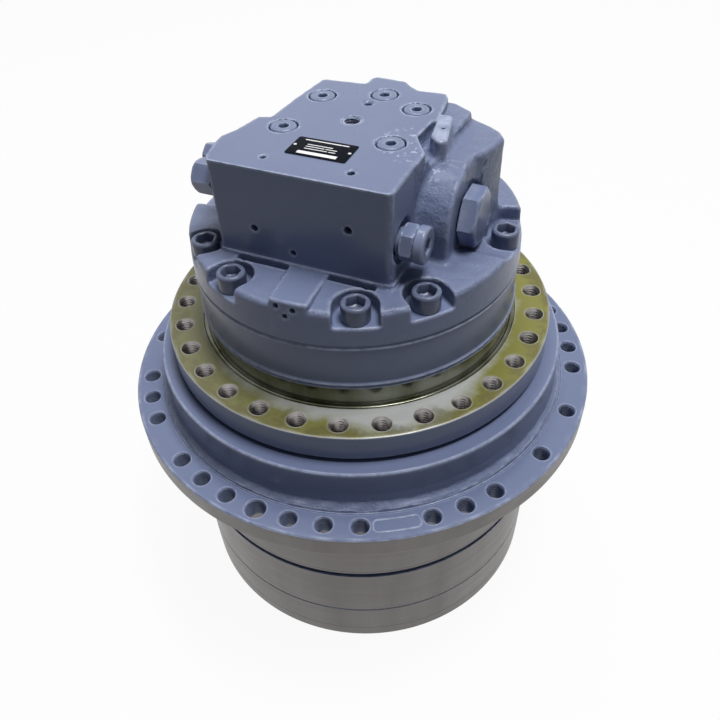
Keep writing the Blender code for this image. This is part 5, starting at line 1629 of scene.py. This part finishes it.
    def net(self) -> tuple[np.ndarray, np.ndarray]:
        """Vertices and quads of the zero level.

        Each crossed cell's vertex is the mean of the crossings on its twelve edges, and each crossed grid
        edge gives the quad of its four cells.

        Returns:
            Points, shape (n, 3), and corner numbers, shape (m, 4).
        """
        xs = stretch(-0.1216, 0.1528, self.step, self.fine, ((0.0740, 0.0766), (0.1028, 0.1052)))
        xs = np.concatenate((np.arange(-0.1536, -0.1216 - 1e-6, self.step), xs))
        ys = stretch(-0.1536, 0.1536, self.step, self.fine, ((-0.1000, -0.0960),))
        levels = ((0.4115, 0.4145), (0.5015, 0.5040), (0.5085, 0.5120))
        zs = stretch(self.base, 0.5150, self.step, self.fine, levels)
        level = self.field(
            xs[:, None, None].astype(np.float32), ys[None, :, None].astype(np.float32),
            zs[None, None, :].astype(np.float32),
        )
        solid = level < 0
        shape = (len(xs) - 1, len(ys) - 1, len(zs) - 1)
        corners = [(i, j, k) for i in (0, 1) for j in (0, 1) for k in (0, 1)]
        window = [slice(0, -1), slice(1, None)]
        count = sum(solid[window[i], window[j], window[k]].astype(np.int8) for i, j, k in corners)
        active = (count > 0) & (count < 8)
        cells = np.argwhere(active)
        number = np.full(shape, -1, dtype=np.int64)
        number[active] = np.arange(len(cells))
        total = np.zeros((len(cells), 3))
        weight = np.zeros(len(cells))
        grid = (xs, ys, zs)
        for one in corners:
            for axis in range(3):
                if one[axis]:
                    continue
                two = tuple(1 if part == axis else one[part] for part in range(3))
                a = level[cells[:, 0] + one[0], cells[:, 1] + one[1], cells[:, 2] + one[2]]
                b = level[cells[:, 0] + two[0], cells[:, 1] + two[1], cells[:, 2] + two[2]]
                crossed = (a < 0) != (b < 0)
                share = np.where(crossed, a / np.where(crossed, a - b, 1), 0)
                spot = np.stack([grid[part][cells[:, part] + one[part]] for part in range(3)], axis=-1)
                far = grid[axis][cells[:, axis] + two[axis]]
                spot[:, axis] += (far - spot[:, axis]) * share
                total += spot * crossed[:, None]
                weight += crossed
        vertices = total / weight[:, None]
        quads = []
        for axis in range(3):
            u, v = (axis + 1) % 3, (axis + 2) % 3
            near = [slice(None)] * 3
            far = [slice(None)] * 3
            near[axis], far[axis] = slice(0, -1), slice(1, None)
            crossing = solid[tuple(near)] != solid[tuple(far)]
            spots = np.argwhere(crossing)
            inner = (spots[:, u] > 0) & (spots[:, v] > 0)
            inner &= (spots[:, u] < shape[u]) & (spots[:, v] < shape[v])
            spots = spots[inner]
            ring = []
            for du, dv in ((-1, -1), (0, -1), (0, 0), (-1, 0)):
                cell = spots.copy()
                cell[:, u] += du
                cell[:, v] += dv
                ring.append(number[cell[:, 0], cell[:, 1], cell[:, 2]])
            quads.append(np.stack(ring, axis=-1))
        return vertices, np.concatenate(quads)

    def slope(self, points: np.ndarray, value: np.ndarray) -> np.ndarray:
        """Gradient of the field at points where it has a known value, by differences over 0.1 mm.

        Args:
            points: points, shape (n, 3).
            value: the field there.

        Returns:
            The gradient, shape (n, 3).
        """
        gap = 0.0001
        parts = []
        for axis in range(3):
            ahead = points.copy()
            ahead[:, axis] += gap
            parts.append((self.field(*ahead.T) - value) / gap)
        return np.stack(parts, axis=-1)

    def settle_net(self, vertices: np.ndarray, quads: np.ndarray) -> tuple[np.ndarray, np.ndarray]:
        """Even out the net and bring it onto the surface.

        Each vertex moves to the mean of its neighbours, and then by -f g / |g|^2 three times, with f the
        field and g its slope. The lowest row only slides along the joint face.

        Args:
            vertices: points of the net.
            quads: its corner numbers.

        Returns:
            The moved points and the gradient there.
        """
        floor = vertices[:, 2] < self.base + self.step
        ends = np.concatenate([quads[:, [i, (i + 1) % 4]] for i in range(4)])
        total = np.zeros_like(vertices)
        shared = np.zeros(len(vertices))
        np.add.at(total, ends[:, 0], vertices[ends[:, 1]])
        np.add.at(shared, ends[:, 0], 1)
        mean = total / np.maximum(shared, 1)[:, None]
        moved = np.where(floor[:, None], vertices, 0.5 * vertices + 0.5 * mean)
        for _ in range(3):
            value = self.field(*moved.T)
            grade = self.slope(moved, value)
            square = np.maximum((grade * grade).sum(axis=1), 0.2)
            push = -np.clip(value / square, -0.001, 0.001)[:, None] * grade
            push[floor, 2] = 0
            moved = moved + push
        moved[floor, 2] = self.base
        return moved, grade

    def skin(self, points: np.ndarray) -> np.ndarray:
        """Where the casting's skin shows, 1, and where a cutter ran, 0.

        Args:
            points: points of the casting.

        Returns:
            One number for each point.
        """
        x, y, z = points.T
        machined = np.clip((z - self.top + 0.0022) / 0.001, 0, 1)
        machined = np.maximum(machined, np.clip((-0.0965 - y) / 0.001, 0, 1) * (z > 0.43))
        side = np.clip((x - 0.0742) / 0.0008, 0, 1) * np.clip((0.0772 - x) / 0.0008, 0, 1) * (y < -0.054)
        ends = np.clip((np.abs(x) - 0.1034) / 0.0005, 0, 1) * np.clip((0.1046 - np.abs(x)) / 0.0004, 0, 1)
        seats = np.clip((self.seat + 0.0006 - z) / 0.0006, 0, 1) * (np.hypot(x, y) < 0.1505)
        rim = np.clip((np.hypot(x, y) - 0.1486) / 0.0008, 0, 1) * 0.6
        return 1 - np.clip(machined + side + ends + seats + rim, 0, 1)

    def wear(self, mesh: bpy.types.Mesh) -> None:
        """Store where the paint is thin or lightened: on raised edges, as thinned paint and a painted
        highlight, all over the lug, and in specks beside it.

        Args:
            mesh: the casting's mesh.
        """
        places = np.empty(len(mesh.vertices) * 3)
        mesh.vertices.foreach_get("co", places)
        x, y, z = places.reshape(-1, 3).T
        lug = (outline_field(self.plan["lug"], x, y) < 0.0005) & (z > 0.497)
        # edge: raised edges above the joint face and the whole lug, lightened partly as a painted highlight
        store(mesh, "edge", np.maximum(convexity(mesh, 0.0017) * (z > self.base + 0.003), lug))
        apart = np.sqrt((x - 0.062) ** 2 + (y + 0.020) ** 2 + (z - 0.505) ** 2)
        store(mesh, "chips", np.clip((0.034 - apart) / 0.012, 0, 1))

    def build(self, finishes: Finishes) -> None:
        """Make the cover.

        Args:
            finishes: every finish of the drive.
        """
        self.plan = self.outlines()
        vertices, quads = self.net()
        vertices, grade = self.settle_net(vertices, quads)
        normals = grade / np.maximum(np.linalg.norm(grade, axis=1), 1e-6)[:, None]
        cast = self.skin(vertices)
        above = np.clip((vertices[:, 2] - self.base - 0.003) / 0.004, 0, 1)
        lumps = 0.00022 * bumps(vertices, 420, 2) + 0.00022 * bumps(vertices, 170, 3)
        vertices = vertices + normals * (cast * above * lumps)[:, None]
        mesh = bpy.data.meshes.new("cover_casting")
        mesh.from_pydata(vertices.tolist(), [], quads.tolist())
        store(mesh, "cast", cast)
        welder = bmesh.new()
        welder.from_mesh(mesh)
        borders = [edge for edge in welder.edges if edge.is_boundary]
        bmesh.ops.triangle_fill(welder, use_beauty=True, edges=borders)
        bmesh.ops.recalc_face_normals(welder, faces=welder.faces)
        welder.to_mesh(mesh)
        welder.free()
        mesh.polygons.foreach_set("use_smooth", np.ones(len(mesh.polygons), dtype=bool))
        mesh.set_sharp_from_angle(angle=math.radians(50))
        self.wear(mesh)
        mesh.materials.append(finishes.made["enamel"])
        piece = bpy.data.objects.new("cover_casting", mesh)
        bpy.context.scene.collection.objects.link(piece)
        hand_over(piece, Body.CASING, Slot.ENAMEL, "motor_cover")


@dataclass
class LiftingThread:
    """Thread of the open lifting hole, r = R - d |2 frac(z / pitch - angle / turn) - 1|, in a thin sleeve."""

    place: tuple[float, float] = LIFTING_SPOT
    outer: float = 0.0079
    inner: float = 0.0072
    pitch: float = 0.0022
    depth: float = 0.0010
    top: float = 0.5099
    length: float = 0.0200

    def build(self, finishes: Finishes) -> None:
        """Make the sleeve.

        Args:
            finishes: every finish of the drive.
        """
        angles = TURN * np.arange(48) / 48
        levels = np.linspace(self.top, self.top - self.length, 64)
        wave = np.abs(2 * ((levels[:, None] / self.pitch - angles[None, :] / TURN) % 1.0) - 1)
        inside = self.inner - self.depth * wave
        ring = np.full((1, len(angles)), self.outer)
        heights = np.concatenate((levels[:1], levels, levels[-1:], levels[:1]))
        shell = Shell()
        shell.lathe(np.vstack((ring, inside, ring, ring)), heights, angles)
        shell.moved(Matrix.Translation((*self.place, 0.0)))
        piece = settle("lifting_thread", shell, finishes.of("enamel"))
        hand_over(piece, Body.CASING, Slot.ENAMEL)


@dataclass
class NamePlate:
    """Black plate with two rivets and plain white rules, bare of words."""

    width: float = 0.052
    depth: float = 0.0285
    middle: tuple[float, float] = (-0.001, -0.0535)
    level: float = 0.5108
    thickness: float = 0.0004

    @staticmethod
    def slab(x: float, y: float, width: float, depth: float, low: float, high: float) -> Shell:
        """Flat slab with rounded corners: rows of one outline, shrunk at the top edge and to the middle.

        Args:
            x: middle along X.
            y: middle along Y.
            width: size along X.
            depth: size along Y.
            low: height of its foot.
            high: height of its face.

        Returns:
            The slab.
        """
        corner = min(width, depth) * 0.06
        ring = rounded([(-width / 2, -depth / 2), (width / 2, -depth / 2), (width / 2, depth / 2),
                        (-width / 2, depth / 2)], corner, steps=3)
        rows = ((0.0, low), (1.0, low), (1.0, high - 0.00008), (0.992, high), (0.0, high))
        layers = [np.column_stack((ring * share + (x, y), np.full(len(ring), z))) for share, z in rows]
        shell = Shell()
        shell.add(np.stack(layers), grid_faces(len(rows), len(ring)))
        return shell

    def build(self, finishes: Finishes) -> None:
        """Make the plate, its rules and rivets.

        Args:
            finishes: every finish of the drive.
        """
        x, y = self.middle
        top = self.level + self.thickness
        plate = self.slab(x, y, self.width, self.depth, self.level, top)
        piece = settle("plate_blank", plate, finishes.of("black_plate_finish"))
        hand_over(piece, Body.CASING, Slot.PLATE, "name_plate")
        rules = Shell()
        table = (
            (0.0, -0.0095, 0.034, 0.0042), (-0.004, -0.0030, 0.020, 0.0010), (0.010, -0.0030, 0.006, 0.0010),
            (-0.006, 0.0004, 0.016, 0.0010), (0.008, 0.0004, 0.010, 0.0010), (-0.003, 0.0036, 0.022, 0.0010),
            (0.0, 0.0105, 0.038, 0.0013),
        )
        for dx, dy, width, depth in table:
            slab = self.slab(x + dx, y + dy, width, depth, top - 0.0002, top + 0.00005)
            rules.add(slab.points[0], slab.faces[0])
        piece = settle("plate_rules", rules, finishes.of("white_ink"))
        hand_over(piece, Body.CASING, Slot.PLATE)
        dome = [(0.0, FLAT, -0.0003), (0.0013, FLAT, -0.0003), (0.0013, FLAT, 0.0001), (0.0011, FLAT, 0.0002),
                (0.0006, FLAT, 0.0003), (0.0, FLAT, 0.00035)]
        for side in (-1, 1):
            spot = (x + side * 0.0235, y + 0.0005, top)
            rivet = Bar(dome, 20).shell().moved(axis_matrix(spot, "+Z"))
            piece = settle(f"plate_rivet_{(side + 3) // 2}", rivet, finishes.of("white_ink"))
            hand_over(piece, Body.CASING, Slot.PLATE)


@dataclass
class SealRings:
    """The two rings of the face seal that show in the gap between hub and frame flange."""

    inner: float = 0.1417
    outer: float = 0.1602

    def build(self, finishes: Finishes) -> None:
        """Make both rings.

        Args:
            finishes: every finish of the drive.
        """
        around = TURN * np.arange(360) / 360
        for name, node, body in (
            ("still_ring", "fixed_seal_ring", Body.CASING), ("turning_ring", "running_seal_ring", Body.HUB)
        ):
            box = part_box(node)
            low, high = box[0][2], box[1][2]
            line = [(self.inner, low), (self.outer, low), (self.outer, high), (self.inner, high)]
            line = rounded(line, 0.0006)
            shell = Shell()
            shell.profile(line, around, 0, closed=True)
            piece = settle(name, shell, finishes.of("bright_steel"))
            hand_over(piece, body, Slot.STEEL, node)


@dataclass
class Studio:
    """Pale floor, soft lamps, white view background and the photograph's camera."""

    eye: Triple = (0.2419, -0.5153, 0.7742)
    lens: float = 36.05

    def build(self, finishes: Finishes) -> None:
        """Set the stage.

        Args:
            finishes: every finish of the drive.
        """
        scene = bpy.context.scene
        scene.view_settings.view_transform = "Standard"
        camera = bpy.data.cameras.new("photo_camera")
        camera.sensor_width = 36.0
        camera.sensor_fit = "HORIZONTAL"
        camera.lens = self.lens
        camera.clip_start = 0.01
        view = bpy.data.objects.new("photo_camera", camera)
        right = (0.91646, 0.39874, -0.03320)
        up = (-0.25102, 0.63759, 0.72830)
        back = (0.31157, -0.65913, 0.68442)
        turn = Matrix((right, up, back)).transposed().to_4x4()
        view.matrix_world = Matrix.Translation(self.eye) @ turn
        scene.collection.objects.link(view)
        scene.camera = view
        self.floor(finishes)
        self.lamps()
        self.world()

    def floor(self, finishes: Finishes) -> None:
        """A round floor: rings of radius r = R t^2 about the drive.

        Args:
            finishes: every finish of the drive.
        """
        rings = 6.0 * np.linspace(0, 1, 24) ** 2
        around = TURN * np.arange(96) / 96
        shell = Shell()
        shell.lathe(rings, np.full(24, -0.0005), around, 0)
        piece = settle("studio_floor", shell, finishes.of("pale_floor"))

    def lamps(self) -> None:
        """Soft lamps: a broad one overhead, one for the sheen from the left and back, a weak one in front."""
        for name, place, size, energy in (
            ("overhead", (0.66, 0.05, 3.5), 1.2, 90.0),
            ("sheen", (-0.52, 0.83, 2.90), 0.8, 20.0),
            ("front_fill", (1.2, -2.2, 1.6), 1.2, 0.9),
        ):
            lamp = bpy.data.lights.new(name, "AREA")
            lamp.shape = "DISK"
            lamp.size = size
            lamp.energy = energy
            holder = bpy.data.objects.new(name, lamp)
            aim = Vector((0, 0, 0.35)) - Vector(place)
            holder.rotation_euler = aim.to_track_quat("-Z", "Y").to_euler()
            holder.location = place
            bpy.context.scene.collection.objects.link(holder)

    def world(self) -> None:
        """World: soft grey light, seen as white by camera, mirror and glass rays."""
        world = bpy.data.worlds.new("studio_world")
        bpy.context.scene.world = world
        world.use_nodes = True
        tree = world.node_tree
        soft = tree.nodes["Background"]
        soft.inputs["Color"].default_value = (0.80, 0.83, 0.90, 1.0)
        soft.inputs["Strength"].default_value = 0.07
        white = tree.nodes.new("ShaderNodeBackground")
        white.inputs["Color"].default_value = (1.0, 1.0, 1.0, 1.0)
        path = tree.nodes.new("ShaderNodeLightPath").outputs
        mix = tree.nodes.new("ShaderNodeMixShader")
        seen = path["Is Camera Ray"]
        for kind in ("Is Glossy Ray", "Is Transmission Ray"):
            either = tree.nodes.new("ShaderNodeMath")
            either.operation = "MAXIMUM"
            tree.links.new(seen, either.inputs[0])
            tree.links.new(path[kind], either.inputs[1])
            seen = either.outputs[0]
        tree.links.new(seen, mix.inputs[0])
        tree.links.new(soft.outputs[0], mix.inputs[1])
        tree.links.new(white.outputs[0], mix.inputs[2])
        tree.links.new(mix.outputs[0], tree.nodes["World Output"].inputs["Surface"])


@dataclass
class InnerParts:
    """Carried-over nodes inside the drive, which only get their finish."""

    by_slot: dict[Slot, str] = field(
        default_factory=lambda: {
            Slot.ENAMEL: "enamel",
            Slot.DRUM: "drum_steel",
            Slot.STEEL: "bare_steel_finish",
            Slot.GEAR: "gear_steel_finish",
            Slot.BRONZE: "bronze_finish",
            Slot.RUBBER: "rubber_finish",
            Slot.PLATE: "black_plate_finish",
        }
    )

    def build(self, nodes: dict, finishes: Finishes) -> None:
        """Give every carried-over node its finish by the name of the slot's material.

        Args:
            nodes: the frame's CAD nodes by name.
            finishes: every finish of the drive.
        """
        for node in nodes.values():
            for spot in node.material_slots:
                name = spot.material.name if spot.material else Slot.STEEL.value
                key = next((slot for slot in self.by_slot if name.startswith(slot.value)), Slot.STEEL)
                spot.material = finishes.made[self.by_slot[key]]


def main() -> None:
    """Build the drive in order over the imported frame."""
    logging.basicConfig(level=logging.INFO, format="%(name)s: %(message)s")
    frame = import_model()
    finishes = Finishes()
    finishes.build()
    InnerParts().build(frame["nodes"], finishes)
    Studio().build(finishes)
    Casing().build(finishes)
    Hub().build(finishes)
    groove = (0.1235, 0.1293)
    RingGear("ring_stage_2", "ring_gear_stage_2", 39, 45.0, 0.0570, 0.1327, groove).build(finishes)
    RingGear("ring_stage_1", "ring_gear_stage_1", 38, 90.0, 0.0180, 0.0567).build(finishes)
    EndCover().build(finishes)
    SealRings().build(finishes)
    MotorCover().build(finishes)
    LiftingThread().build(finishes)
    CapScrews().build(finishes)
    Plugs().build(finishes)
    NamePlate().build(finishes)


if __name__ == "__main__":
    main()
